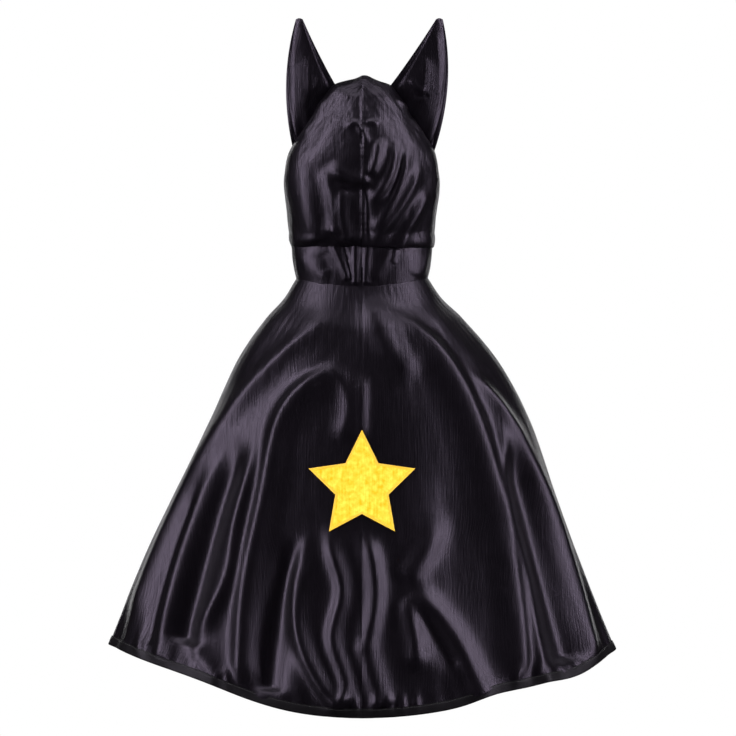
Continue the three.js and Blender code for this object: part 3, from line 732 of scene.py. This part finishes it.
def collarGrid(sign):
    share = np.linspace(-0.02, 1.03, 34)[:, None] + np.zeros(120)
    angle = sign * 174 * np.linspace(0, 1, 120)[None, :] + 0 * share
    points = collarRing(share, angle)
    normals = gridNormals(points)
    facing = smooth((np.cos(np.radians(angle)) + 0.1) / 0.35)
    relief = foldRelief(points[..., 0], points[..., 2], collarFolds) * facing
    swell = np.sin(np.pi * np.clip(share, 0, 1))
    relief += 0.0012 * swell
    relief += 0.00035 * ripples(np.radians(angle), share * 0.35, 41, 9, 8, 30) * swell
    nearSeams = np.exp(-share / 0.15) + np.exp((share - 1) / 0.12)
    relief += 0.00018 * ripples(np.radians(angle), 0, 42, 7, 60, 140) * nearSeams
    relief -= 0.0012 * np.exp(-(points[..., 0] / 0.0022) ** 2) * facing
    points = seamed(points + normals * relief[..., None])
    return points, unit(seamed(gridNormals(points)))


for side, sign in sideSign.items():
    points, normals = collarGrid(sign)
    name = f"collarBand{side.title()}"
    pieces[name] = sheetFromGrid(name, points, 0.0011, satin, normals)
print("collar made")

# Hood.
crownZ = 0.309
hoodRows = {
    "at": [0, 0.09, 0.25, 0.36, 0.476, 0.66, 0.85, 0.92, 1],
    "halfWidth": [0.105, 0.109, 0.115, 0.115, 0.108, 0.077, 0.046, 0.025, 0],
    "centreY": [0, -0.004, -0.010, -0.013, -0.015, -0.015, -0.015, -0.015, -0.015],
    "backDepth": [0.066, 0.074, 0.078, 0.077, 0.071, 0.057, 0.039, 0.032, 0.027],
    "frontDepth": [0.060, 0.069, 0.089, 0.101, 0.111, 0.120, 0.129, 0.132, 0.134],
    "side": [0, 0.105, 0.3, 0.435, 0.57, 0.76, 0.953, 0.984, 1],
    "back": [0, 0.104, 0.295, 0.43, 0.565, 0.735, 0.876, 0.911, 0.93],
    "front": [0, 0.104, 0.284, 0.42, 0.546, 0.709, 0.825, 0.845, 0.857],
    "edgeAngle": [160, 150, 140, 136, 133, 131, 130, 130, 130],
}
hoodFolds = [
    # the gathered place behind the crown, where most of them run together
    fold([(-0.025, 0.23), (-0.005, 0.26), (0.01, 0.20)], 0.0040, 0.004, 0.006),
    fold([(0.005, 0.24), (0.015, 0.245), (0.025, 0.24)], 0.0028, 0.0035, 0.004),
    fold([(-0.05, 0.185), (-0.02, 0.145), (0.015, 0.16)], 0.0070, 0.008, 0.013),
    fold([(-0.04, 0.16), (-0.015, 0.135), (0.015, 0.145)], -0.0050, 0.007, 0.007),
    fold([(0.025, 0.22), (0.025, 0.19), (0.01, 0.16)], 0.0060, 0.006, 0.008),
    fold([(0.05, 0.22), (0.05, 0.16), (0.01, 0.12)], 0.0060, 0.006, 0.009),
    fold([(0.07, 0.215), (0.06, 0.13), (0.01, 0.075)], 0.0064, 0.007, 0.009),
    fold([(0.09, 0.19), (0.065, 0.11), (0.01, 0.06)], 0.0064, 0.008, 0.009),
    fold([(0.105, 0.15), (0.07, 0.09), (0.05, 0.05)], 0.0060, 0.009, 0.008, endFade=0.05),
    fold([(0.06, 0.20), (0.055, 0.16), (0.035, 0.12)], -0.0030, 0.004, 0.004),
    # down the left side
    fold([(-0.10, 0.215), (-0.085, 0.13), (-0.07, 0.06)], 0.0060, 0.020, 0.018, endFade=0.05),
    fold([(-0.06, 0.18), (-0.035, 0.13), (-0.045, 0.07)], 0.0060, 0.010, 0.014, endFade=0.1),
    fold([(-0.025, 0.15), (-0.035, 0.11), (-0.02, 0.065)], 0.0055, 0.007, 0.010, endFade=0.1),
    fold([(-0.045, 0.09), (-0.035, 0.07), (-0.02, 0.06)], 0.0040, 0.004, 0.006, endFade=0.05),
    fold([(0.005, 0.15), (0.01, 0.11), (0.01, 0.06)], -0.0050, 0.005, 0.005),
    # pulled down from the ears' feet
    fold([(0.055, 0.28), (0.075, 0.25), (0.095, 0.215)], 0.0030, 0.005, 0.008),
    fold([(-0.05, 0.285), (-0.07, 0.25), (-0.09, 0.22)], 0.0032, 0.008, 0.005),
    fold([(0.05, 0.28), (0.06, 0.27), (0.07, 0.26)], 0.0030, 0.003, 0.003),
    fold([(0.06, 0.27), (0.07, 0.26), (0.075, 0.245)], -0.0026, 0.003, 0.003),
]


def hoodGrid(sign):
    columns, rows = 110, 130
    share = (np.linspace(0, 1, rows))[:, None] + np.zeros(columns)
    edge = curvedAt(hoodRows, "edgeAngle", share)
    across = np.linspace(0, 1, columns)[None, :] + 0 * share
    angle = sign * edge * across
    ring = {k: curvedAt(hoodRows, k, share) for k in ("halfWidth", "centreY", "backDepth", "frontDepth")}
    ring["halfWidth"] = np.maximum(ring["halfWidth"], 0)
    for end in ("side", "back", "front"):
        ring[end + "Z"] = mix(collar["topZ"] + 0.0005, crownZ, curvedAt(hoodRows, end, share))
    points = onRing(ring, angle)
    normals = gridNormals(points)
    normals[:, 0, 0] = 0
    normals[-1, :, 0] = 0
    normals = unit(normals)
    x, z = points[..., 0], points[..., 2]
    facing = smooth((np.cos(np.radians(angle)) + 0.1) / 0.35)
    relief = softened(foldRelief(x, z, hoodFolds), 2) * facing
    foot = share / 0.075
    fuller = 0.75 + 0.3 * ripples(np.radians(angle), 0, 53, 5, 3, 8) + (0.35 if sign > 0 else 0)
    relief += 0.0034 * np.sin(np.pi * np.clip(foot, 0, 1)) * np.exp(-foot * 0.4) * fuller
    relief += 0.0008 * ripples(np.radians(angle), share * 2.6, 51, 9, 4, 14) * smooth(share / 0.05)
    relief += 0.00012 * ripples(np.radians(angle), share * 2.6, 52, 9, 26, 60) * smooth(share / 0.03)
    fromSeam = arcLengths(points, 1)
    relief -= 0.0013 * np.exp(-(fromSeam / 0.002) ** 2)
    puckers = 0.0004 * ripples(share * 2.6, 0, 54, 6, 60, 140) * np.exp(-fromSeam / 0.005)
    relief += puckers * smooth((0.92 - share) / 0.2)
    relief *= np.minimum(1, smooth(share / 0.012) + 0.15)
    points = points + normals * relief[..., None]
    sag = (0.0034 if sign > 0 else -0.001) * np.exp(-((share - 0.02) / 0.022) ** 2) * smooth(share / 0.008)
    points[..., 2] -= sag
    peak = np.exp(-((points[..., 0] - 0.006) / 0.013) ** 2)  # the top is pinched up beside its seam
    points[..., 2] += 0.006 * peak * smooth((share - 0.8) / 0.2)
    points[-1, :, 0] = 0
    return seamed(points)


hoodCloth = {}
for side, sign in sideSign.items():
    points = hoodGrid(sign)
    normals = gridNormals(points)
    normals[-1, :, 0] = 0
    normals = unit(seamed(normals))
    hoodCloth[side] = (points, normals)
    name = f"hoodPanel{side.title()}"
    pieces[name] = sheetFromGrid(name, points, 0.0009, satin, normals)
pointsL, normalsL = hoodCloth["left"]
pointsR, normalsR = hoodCloth["right"]


def overCrown(left, right):  # up the left face edge, over the crown and down the right one
    return np.concatenate([left, right[::-1][1:]])


faceRows = slice(2, None)
faceEdge = overCrown(pointsL[faceRows, -1], pointsR[faceRows, -1])
faceInner = overCrown(pointsL[faceRows, -4], pointsR[faceRows, -4])
faceNormal = overCrown(normalsL[faceRows, -2], normalsR[faceRows, -2])
faceBinding, faceLines = bindEdge("hoodFaceBinding", faceEdge, unit(faceEdge - faceInner), faceNormal)
pieces["hoodFaceBinding"] = faceBinding
pieces["hoodFaceStitches"] = runningStitch("hoodFaceStitches", faceLines, 5)
print("hood made")

# Ears: two covers sewn round the edge, over wadding.
ears = {
    "left": {"foot": [(-0.105, 0.211), (-0.040, 0.300)], "tip": (-0.099, 0.398), "tipIn": (-0.089, 0.398),
             "bow": -0.125},
    "right": {"foot": [(0.109, 0.202), (0.042, 0.298)], "tip": (0.121, 0.398), "tipIn": (0.111, 0.398),
              "bow": 0.142},
}
earY = -0.015
earPad = {"bulge": 0.0095, "thickness": 0.0009}
earFolds = {
    "left": [fold([(-0.10, 0.385), (-0.105, 0.32), (-0.10, 0.25)], 0.0016, 0.005, 0.005),
             fold([(-0.08, 0.345), (-0.075, 0.30), (-0.085, 0.26)], 0.0014, 0.005, 0.006),
             fold([(-0.06, 0.32), (-0.075, 0.285), (-0.085, 0.26)], -0.0012, 0.004, 0.004)],
    "right": [fold([(0.11, 0.385), (0.12, 0.33), (0.115, 0.26)], 0.0016, 0.005, 0.005),
              fold([(0.095, 0.35), (0.095, 0.31), (0.09, 0.27)], 0.0014, 0.005, 0.006),
              fold([(0.07, 0.31), (0.08, 0.295), (0.095, 0.29)], 0.0022, 0.004, 0.005),
              fold([(0.075, 0.285), (0.09, 0.28), (0.10, 0.285)], -0.0020, 0.003, 0.004)],
}


def earGrid(ear, side, across, up):
    foot = np.array(ear["foot"])
    tip, tipIn = np.array(ear["tip"]), np.array(ear["tipIn"])
    mid = np.array([ear["bow"], mix(foot[0][1], tip[1], 0.52)])
    u = up[..., None]
    outerSide = (1 - u) ** 2 * foot[0] + 2 * u * (1 - u) * mid + u ** 2 * tip
    innerMid = mix(foot[1], tipIn, 0.45) + np.array([sideSign[side] * 0.0035, 0])
    innerSide = (1 - u) ** 2 * foot[1] + 2 * u * (1 - u) * innerMid + u ** 2 * tipIn
    flat = mix(outerSide, innerSide, across[..., None])
    roundTip = np.sin(np.pi * np.clip(across, 0, 1)) * 0.0018 * smooth((up - 0.9) / 0.1)
    flat[..., 1] += roundTip
    rise = np.sin(np.pi * np.minimum(up * 1.35, 0.5 + up * 0.47))
    bulge = earPad["bulge"] * np.clip(np.sin(np.pi * across), 0, 1) ** 0.7 * np.maximum(rise, 0)
    bulge *= smooth((1 - up) / 0.05) * 0.6 + 0.4
    return flat, bulge


def earTurn(across, up):  # the ear turns its outer edge forwards as it leaves the hood
    return (0.5 - across) * 0.022 * smooth(np.clip(up, 0, 1) / 0.35) * (1 - 0.8 * np.clip(up, 0, 1))


filling = {"mass": 0.2, "stiffness": 8, "bending": 1, "pressure": 4, "frames": 20, "mostMoved": 0.006}


def stuffed(back, front):  # two faces sewn together round their edge swell like a filled bag
    rows, columns = back.shape[:2]
    backIndex = np.arange(rows * columns).reshape(rows, columns)
    frontIndex = backIndex.copy()
    innerShape = (rows - 2, columns - 2)
    frontIndex[1:-1, 1:-1] = rows * columns + np.arange(math.prod(innerShape)).reshape(innerShape)
    vertices = np.concatenate([back.reshape(-1, 3), front[1:-1, 1:-1].reshape(-1, 3)])
    faces = quadFaces(backIndex).tolist() + quadFaces(frontIndex)[:, ::-1].tolist()
    bag = meshObject("earBag", vertices, faces, None, satin)
    if signedVolume(bag.data) < 0:
        bag.data.flip_normals()
    onSeam = np.ones((rows, columns), bool)
    onSeam[1:-1, 1:-1] = False
    free = softened(1.0 - onSeam, 3)
    free[onSeam] = 0
    bag.vertex_groups.new(name="sewn").add([int(k) for k in backIndex[onSeam]], 1.0, "REPLACE")
    cloth = bag.modifiers.new("filling", "CLOTH").settings
    cloth.quality = 6
    cloth.mass = filling["mass"]
    cloth.tension_stiffness = cloth.compression_stiffness = cloth.shear_stiffness = filling["stiffness"]
    cloth.bending_stiffness = filling["bending"]
    cloth.use_pressure = True
    cloth.uniform_pressure_force = filling["pressure"]
    cloth.vertex_group_mass = "sewn"
    cloth.effector_weights.gravity = 0
    scene = bpy.context.scene
    for step in range(1, filling["frames"] + 1):
        scene.frame_set(step)
    swollen = np.empty(len(vertices) * 3, np.float32)
    bag.evaluated_get(bpy.context.evaluated_depsgraph_get()).data.vertices.foreach_get("co", swollen)
    scene.frame_set(1)
    moved = swollen.reshape(-1, 3).astype(float) - vertices
    length = np.linalg.norm(moved, axis=1, keepdims=True)
    moved = moved * np.minimum(1, filling["mostMoved"] / np.maximum(length, 1e-9))
    bpy.data.objects.remove(bag)
    print("ear filled, moved up to", round(float(length.max()) * 1000, 1), "mm")

    def settled(face, index):
        shift = np.stack([softened(moved[index][..., k], 6) for k in range(3)], -1)
        return face + shift * free[..., None]

    return settled(back, backIndex), settled(front, frontIndex)


def finer(grid):  # twice the rows and columns
    for axis in (0, 1):
        grid = np.moveaxis(grid, axis, 0)
        between = (grid[:-1] + grid[1:]) / 2
        between[1:-1] = (9 * (grid[1:-2] + grid[2:-1]) - grid[:-3] - grid[3:]) / 16
        grid = np.moveaxis(np.insert(grid, np.arange(1, len(grid)), between, axis=0), 0, axis)
    return grid


def earFaces(ear, side):  # the back and front faces of one ear, sewn together at the edge
    up = np.linspace(-0.02, 1, 66)[:, None] + np.zeros(30)
    across = np.linspace(0, 1, 30)[None, :] + 0 * up
    flat, bulge = earGrid(ear, side, across, up)
    edgeFade = np.sin(np.pi * across) ** 0.5 * smooth((1 - up) / 0.04)
    faces = []
    for way in (-1, 1):
        seed = 60 + way + sideSign[side] * 4
        relief = foldRelief(flat[..., 0], flat[..., 1], earFolds[side]) * edgeFade
        gathers = 0.0010 * ripples(across * 3, 0, seed, 6, 4, 14) * np.exp(-np.maximum(up, 0) / 0.10)
        relief += gathers * edgeFade
        y = earY + earTurn(across, up) + way * (0.8 * bulge * edgeFade + relief)
        faces.append(np.stack([flat[..., 0], y, flat[..., 1]], -1))
    back, front = faces
    for edge in (np.s_[0], np.s_[-1], np.s_[:, 0], np.s_[:, -1]):
        back[edge] = front[edge] = (back[edge] + front[edge]) / 2
    return stuffed(back, front)


def earCover(name, face, way):
    points = finer(face)
    across = np.linspace(0, 1, points.shape[1])[None, :]
    rolled = np.exp(-((across - 0.085) / 0.03) ** 2) + np.exp(-((across - 0.915) / 0.03) ** 2)
    fade = smooth(np.linspace(1, 0, points.shape[0]) / 0.1)[:, None]
    points[..., 1] += way * (0.0006 - 0.0011 * rolled * fade)
    normals = gridNormals(points)
    if np.sum(normals[..., 1] * way) < 0:
        normals = -normals
    return sheetFromGrid(name, points, earPad["thickness"], satin, normals)


def earWadding(name, back, front):
    inside = np.s_[5:58, 3:-3]
    half = np.maximum((front[inside][..., 1] - back[inside][..., 1]) / 2 - 0.0028, 0.0003)
    depth = np.stack([0 * half, 2 * half, 0 * half], -1)
    pad = sheetFromGrid(name, (front[inside] + back[inside]) / 2, 1.0, fibrefill, depth)
    if signedVolume(pad.data) < 0:
        pad.data.flip_normals()
    return pad


for side, ear in ears.items():
    label = side.title()
    back, front = earFaces(ear, side)
    pieces[f"ear{label}Back"] = earCover(f"ear{label}Back", back, -1)
    pieces[f"ear{label}Front"] = earCover(f"ear{label}Front", front, 1)
    pieces[f"ear{label}Wadding"] = earWadding(f"ear{label}Wadding", back, front)
print("ears made")

# Tape inside the neck seam.
def makeNeckTape():
    angle = np.linspace(-170, 170, 260)[None, :] + np.zeros((10, 1))
    share = np.linspace(0.05, 0.21, 10)[:, None] + 0 * angle
    points = collarRing(share, angle, grow=-0.0022)
    normals = gridNormals(points)
    points = points + normals * (0.0003 * ripples(np.radians(angle), 0, 81, 6, 30, 90))[..., None]
    pieces["neckTape"] = sheetFromGrid("neckTape", points, 0.0008, bindingSatin, normals)
    inside = points - normals * 0.0005
    pieces["neckTapeStitches"] = runningStitch("neckTapeStitches", [inside[1], inside[-2]], 6)


makeNeckTape()

# Closure tab with its hook patch, and the loop patch on the band.
closure = {
    "half": 0.012, "z": 0.025, "root": 197, "tipAngle": 163, "thickness": 0.0012,
    "near": 0.0010, "lifted": 0.0042, "liftedFrom": 183.5,
}
patch = {"from": 163.7, "to": 172.8, "half": 0.0101, "thickness": 0.0010}


def strip(angles, halfHeight, offset):
    z = closure["z"] + halfHeight
    share = (z - neck["frontZ"]) / (collar["topZ"] - neck["frontZ"])
    points = collarRing(share, angles)
    outward = gridNormals(points)
    return points + outward * offset[..., None], outward


def tabOffset(angle):  # the tab climbs from the band over the two patches
    climb = smooth((closure["root"] - angle) / (closure["root"] - closure["liftedFrom"]))
    return mix(closure["near"], closure["lifted"], climb)


def makeClosureTab():
    along = np.linspace(0, 1, 70)[None, :] + np.zeros((22, 1))
    across = np.linspace(-1, 1, 22)[:, None] + 0 * along
    angle = mix(closure["root"], closure["tipAngle"], along)
    roundEnd = np.sqrt(np.clip(1 - np.clip((along - 0.8) / 0.2, 0, 1) ** 2.4, 0.02, 1))
    points, outward = strip(angle, across * closure["half"] * roundEnd, tabOffset(angle) + 0.0006)
    points = points + outward * (0.0003 * ripples(along * 3, across, 91, 6, 4, 10))[..., None]
    pieces["closureTab"] = sheetFromGrid("closureTab", points, closure["thickness"], satin, outward)
    face = points + outward * 0.00068
    box = [face[3, 3:-8], face[-4, 3:-8], face[3:-3, 4], face[3:-3, 32], face[3:-3, -9]]
    pieces["tabStitches"] = runningStitch("tabStitches", box, 7, step=0.0028, length=0.0021)


fuzz = {"every": 2, "height": 0.00035, "sway": 0.0003, "radius": 0.00009, "seed": 95}


def hookFuzz(name, points, normals):  # a field of short bent hooks or loops
    rng = np.random.default_rng(fuzz["seed"])
    every = np.s_[::fuzz["every"], ::fuzz["every"]]
    lines = []
    for p, n in zip(points[every].reshape(-1, 3), normals[every].reshape(-1, 3)):
        side = unit(np.cross(n, rng.normal(size=3))) * fuzz["sway"]
        top = p + n * fuzz["height"]
        shoulder = p + n * fuzz["height"] * 0.7
        lines.append([p, shoulder, top + side * 0.5, shoulder + side])
    return grown(name, lines, threadTubesTree, {"Thread Radius": fuzz["radius"], "Thread": blackThread})


def makePatch(name, offset, way):
    angle = np.linspace(patch["from"], patch["to"], 26)[None, :] + np.zeros((30, 1))
    height = np.linspace(-patch["half"], patch["half"], 30)[:, None] + 0 * angle
    points, outward = strip(angle, height, 0 * angle + offset + 0.0006)
    pieces[name] = sheetFromGrid(name, points, patch["thickness"], hookTape, outward)
    facing = way * outward[1:-1, 1:-1]
    pieces[name + "Fuzz"] = hookFuzz(name + "Fuzz", points[1:-1, 1:-1] + facing * 0.0005, facing)


makeClosureTab()
makePatch("hookPatch", 0.0026, -1)
makePatch("loopPatch", 0.0010, 1)
print("closure made")

# Star on the back, laid over the folds, with its border of stitches.
star = {"radius": 0.082, "inner": 0.5, "centreZ": -0.300, "thickness": 0.0011, "lift": 0.0012}
panelShape = (capeCounts["rows"], capeCounts["columns"])
panelIndex = np.arange(math.prod(panelShape)).reshape(panelShape)
panelQuads = quadFaces(panelIndex)
capeTree = BVHTree.FromPolygons(
    np.concatenate([capeCloth[side][0].reshape(-1, 3) for side in ("left", "right")]).tolist(),
    np.concatenate([panelQuads, panelQuads + panelIndex.size]).tolist(),
)


def behind(x, z):  # the cape's outer surface seen from the back
    beside = x if abs(x) > 0.0004 else 0.0004
    return capeTree.ray_cast(Vector((beside, -1.0, z)), Vector((0, 1, 0)))[0]


def starCorner(i, shrink=0.0):
    radius = star["radius"] * (star["inner"] if i % 2 else 1) - shrink * (1 if i % 2 else 1.9)
    turn = i * math.pi / 5
    return np.array([radius * math.sin(turn), radius * math.cos(turn)])


def starEdge(perSide, shrink=0.0):
    points = []
    for i in range(10):
        a, b = starCorner(i, shrink), starCorner((i + 1) % 10, shrink)
        points += [mix(a, b, k / perSide) for k in range(perSide)]
    return np.array(points)


patchSize = 0.0012
reach = 75
gridXY = np.arange(-reach, reach + 1) * patchSize
depth = np.array([[behind(x, star["centreZ"] + z)[1] for x in gridXY] for z in gridXY])
for _ in range(10):  # the stiff velvet bridges the smallest wrinkles
    around = np.pad(depth, 1, mode="edge")
    relaxed = (around[:-2, 1:-1] + around[2:, 1:-1] + around[1:-1, :-2] + around[1:-1, 2:]) / 4
    depth = np.minimum(relaxed, depth)


def starSurface(xz, lift):
    gx = np.clip(xz[..., 0] / patchSize + reach, 0, 2 * reach - 1.001)
    gz = np.clip(xz[..., 1] / patchSize + reach, 0, 2 * reach - 1.001)
    ix, iz = gx.astype(int), gz.astype(int)
    fx, fz = gx - ix, gz - iz
    y = (depth[iz, ix] * (1 - fx) * (1 - fz) + depth[iz, ix + 1] * fx * (1 - fz)
         + depth[iz + 1, ix] * (1 - fx) * fz + depth[iz + 1, ix + 1] * fx * fz)
    return np.stack([xz[..., 0], y - lift, star["centreZ"] + xz[..., 1]], -1)


def starPiece():
    outline = starEdge(40)
    rings = np.linspace(0, 1, 61)[1:]
    flat = np.concatenate([np.zeros((1, 2))] + [outline * r for r in rings])
    pile = 0.0003 * ripples(flat[:, 0], flat[:, 1], 101, 9, 200, 700)
    edge = np.concatenate([[0.0]] + [np.full(len(outline), r) for r in rings])
    roundOff = 0.0006 * smooth((edge - 0.96) / 0.04)
    top = starSurface(flat, star["lift"] + star["thickness"])
    top[..., 1] += pile + roundOff
    under = starSurface(flat, star["lift"] - 0.0004)
    n, total = len(outline), len(flat)
    faces = []
    for start, flip in ((0, False), (total, True)):
        ring = start + 1 + np.arange(n * len(rings)).reshape(len(rings), n)
        following = np.roll(ring, -1, axis=1)
        quads = np.stack([ring[:-1], following[:-1], following[1:], ring[1:]], -1).reshape(-1, 4)
        centre = np.stack([np.full(n, start), following[0], ring[0]], -1)
        faces += (quads[:, ::-1] if flip else quads).tolist() + (centre[:, ::-1] if flip else centre).tolist()
    rim = 1 + n * (len(rings) - 1) + np.arange(n)
    nextRim = np.roll(rim, -1)
    faces += np.stack([rim, nextRim, nextRim + total, rim + total], -1).tolist()
    uv = np.concatenate([flat, flat])
    obj = meshObject("emblemStar", np.concatenate([top, under]), faces, uv, velvet)
    if signedVolume(obj.data) < 0:
        obj.data.flip_normals()
    return obj


pieces["emblemStar"] = starPiece()


def makeStarBorder():  # satin stitch over the star's cut edge
    t = np.linspace(0, 1, 5)
    lift = star["lift"] + star["thickness"] + 0.0005 * np.sin(np.pi * t) - 0.0004 * (1 - t)
    edges = zip(starEdge(68, shrink=-0.0006), starEdge(68, shrink=0.0032))
    lines = [starSurface(mix(outer, inner, t[:, None]), lift) for outer, inner in edges]
    return grown("emblemBorder", lines, threadTubesTree, {"Thread Radius": 0.00042, "Thread": yellowThread})


pieces["emblemBorder"] = makeStarBorder()
print("star made")

# Everything rides on its body and replaces its plain solid.
standsFor = {
    "capePanelLeft": "cape_panel_left", "capePanelRight": "cape_panel_right", "hemBinding": "hem_binding",
    "frontBindingLeft": "front_binding_left", "frontBindingRight": "front_binding_right",
    "collarBandLeft": "collar_band_left", "collarBandRight": "collar_band_right",
    "neckTape": "neck_seam_tape", "closureTab": "closure_tab",
    "hookPatch": "hook_patch", "loopPatch": "loop_patch",
    "hoodPanelLeft": "hood_panel_left", "hoodPanelRight": "hood_panel_right",
    "hoodFaceBinding": "hood_face_binding", "earLeftBack": "ear_left_back_cover",
    "earLeftFront": "ear_left_front_cover", "earLeftWadding": "ear_left_wadding",
    "earRightBack": "ear_right_back_cover", "earRightFront": "ear_right_front_cover",
    "earRightWadding": "ear_right_wadding", "emblemStar": "emblem_star", "emblemBorder": "emblem_stitching",
}
for name, obj in pieces.items():
    if name in standsFor:
        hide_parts(standsFor[name])
    if name.startswith("hood"):
        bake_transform(obj)
    elif name.startswith("ear"):
        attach(obj, "ear_left" if "Left" in name else "ear_right")
    elif name.startswith(("closureTab", "tabStitches", "hookPatch")):
        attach(obj, "tab")
    else:
        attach(obj, "cape")


def sheetArea(obj):
    return sum(p.area for p in obj.data.polygons) / 2


# Cuts, from the lengths of each piece's seams. A panel flares from the neck to the hem, half a hood is near a
# quarter of an oval, and an ear cover is its own outline laid flat.
capeCut = {"neck": 0.241, "hem": 0.748, "back": 0.665, "front": 0.621}
hoodCut = {"foot": 0.232, "face": 0.290}
capeArea = (capeCut["neck"] + capeCut["hem"]) / 2 * (capeCut["back"] + capeCut["front"]) / 2
hoodArea = math.pi / 4 * hoodCut["foot"] * hoodCut["face"]
starArea = 5 * star["radius"] ** 2 * star["inner"] * math.sin(math.pi / 5)
capeSize = (capeCut["hem"], capeCut["back"])
hoodSize = (hoodCut["foot"], hoodCut["face"])
starSize = (1.902 * star["radius"], 1.809 * star["radius"])
sheets = {  # how each cloth is held, its cut's size and area, and what it hangs from or lies on
    "capePanelLeft": ("gathered", capeSize, capeArea, ["collarBandLeft"], ["frontBindingLeft"]),
    "capePanelRight": ("gathered", capeSize, capeArea, ["collarBandRight"],
                       ["frontBindingRight", "hemBinding"]),
    "collarBandLeft": ("stretched", (0.253, 0.062), None, ["neckTape"], []),
    "collarBandRight": ("stretched", (0.253, 0.062), None, ["neckTape"], []),
    "hoodPanelLeft": ("draped", hoodSize, hoodArea, ["collarBandLeft"], ["hoodFaceBinding"]),
    "hoodPanelRight": ("draped", hoodSize, hoodArea, ["collarBandRight"], []),
    "earLeftBack": ("stretched", (0.085, 0.187), 0.0077, ["earLeftWadding"], []),
    "earLeftFront": ("stretched", (0.085, 0.187), 0.0077, ["earLeftWadding"], []),
    "earRightBack": ("stretched", (0.090, 0.196), 0.0094, ["earRightWadding"], []),
    "earRightFront": ("stretched", (0.090, 0.196), 0.0094, ["earRightWadding"], []),
    "emblemStar": ("laid", starSize, starArea, ["capePanelLeft", "capePanelRight"], ["emblemBorder"]),
    "closureTab": ("laid", (0.062, 0.024), None, ["loopPatch"], ["tabStitches"]),
}
for name, (held, cut, area, restsOn, extras) in sheets.items():
    print("sheet", name, "made", round(sheetArea(pieces[name]), 4), "cut", area or round(cut[0] * cut[1], 4))
print("pieces made", len(pieces))

# Floor, lights and camera.
def makeFloor():
    turn = np.linspace(0, 2 * math.pi, 97)[:-1]
    rim = np.stack([2.6 * np.cos(turn), 2.6 * np.sin(turn), 0 * turn + cadBox[0][2] - 0.16], -1)
    material = bpy.data.materials.new("paleFloor")
    material.use_nodes = True
    shader = material.node_tree.nodes["Principled BSDF"]
    shader.inputs["Base Color"].default_value = (0.9, 0.9, 0.9, 1)
    shader.inputs["Roughness"].default_value = 0.9
    shader.inputs["Emission Color"].default_value = (1, 1, 1, 1)
    shader.inputs["Emission Strength"].default_value = 0.68
    floor = meshObject("studioFloor", rim, [list(range(96))], None, material)
    floor.visible_glossy = False


def areaLight(name, place, target, size, power, mirrored=True):
    light = bpy.data.lights.new(name, "AREA")
    light.shape = "RECTANGLE"
    light.size, light.size_y = size
    light.energy = power
    obj = bpy.data.objects.new(name, light)
    bpy.context.scene.collection.objects.link(obj)
    obj.location = place
    obj.rotation_euler = (Vector(target) - Vector(place)).to_track_quat("-Z", "Y").to_euler()
    obj.visible_glossy = mirrored
    obj.visible_camera = False


makeFloor()
areaLight("leftStrip", (-2.5, -1.1, 1.0), (0, 0, -0.1), (0.55, 4.6), 84)
areaLight("rightStrip", (2.5, -1.1, 1.0), (0, 0, -0.1), (0.55, 4.6), 84)
areaLight("frontLeftStrip", (-1.5, 3.2, 0.9), (0, 0, -0.1), (0.5, 3.2), 12)
areaLight("frontRightStrip", (1.5, 3.2, 0.9), (0, 0, -0.1), (0.5, 3.2), 12)
areaLight("topSoftbox", (0, -0.2, 3.2), (0, 0, -0.1), (2.4, 1.2), 20)
areaLight("lowFill", (0, -3.2, -0.3), (0, 0, -0.35), (2.2, 0.3), 46, mirrored=False)
areaLight("frontSoftbox", (0, 2.4, 1.6), (0, 0, -0.1), (1.6, 1.0), 30, mirrored=False)

# The room is bright behind the object and dim where the satin mirrors it.
world = bpy.data.worlds.new("studio")
bpy.context.scene.world = world
world.use_nodes = True
room = world.node_tree
dim = room.nodes["Background"]
dim.inputs["Color"].default_value = (1, 1, 1, 1)
dim.inputs["Strength"].default_value = 0.02
bright = room.nodes.new("ShaderNodeBackground")
bright.inputs["Color"].default_value = (1, 1, 1, 1)
seen = room.nodes.new("ShaderNodeMixShader")
room.links.new(room.nodes.new("ShaderNodeLightPath").outputs["Is Camera Ray"], seen.inputs["Fac"])
room.links.new(dim.outputs["Background"], seen.inputs[1])
room.links.new(bright.outputs["Background"], seen.inputs[2])
room.links.new(seen.outputs["Shader"], room.nodes["World Output"].inputs["Surface"])
bpy.context.scene.view_settings.view_transform = "Standard"

view = {"width": 1.104, "distance": 20.0, "x": 0.009, "z": -0.1245}
cameraData = bpy.data.cameras.new("camera")
cameraData.sensor_width = 36
cameraData.lens = 36 * view["distance"] / view["width"]
camera = bpy.data.objects.new("camera", cameraData)
bpy.context.scene.collection.objects.link(camera)
camera.location = (view["x"], -view["distance"], view["z"])
camera.rotation_euler = (math.pi / 2, 0, 0)
bpy.context.scene.camera = camera
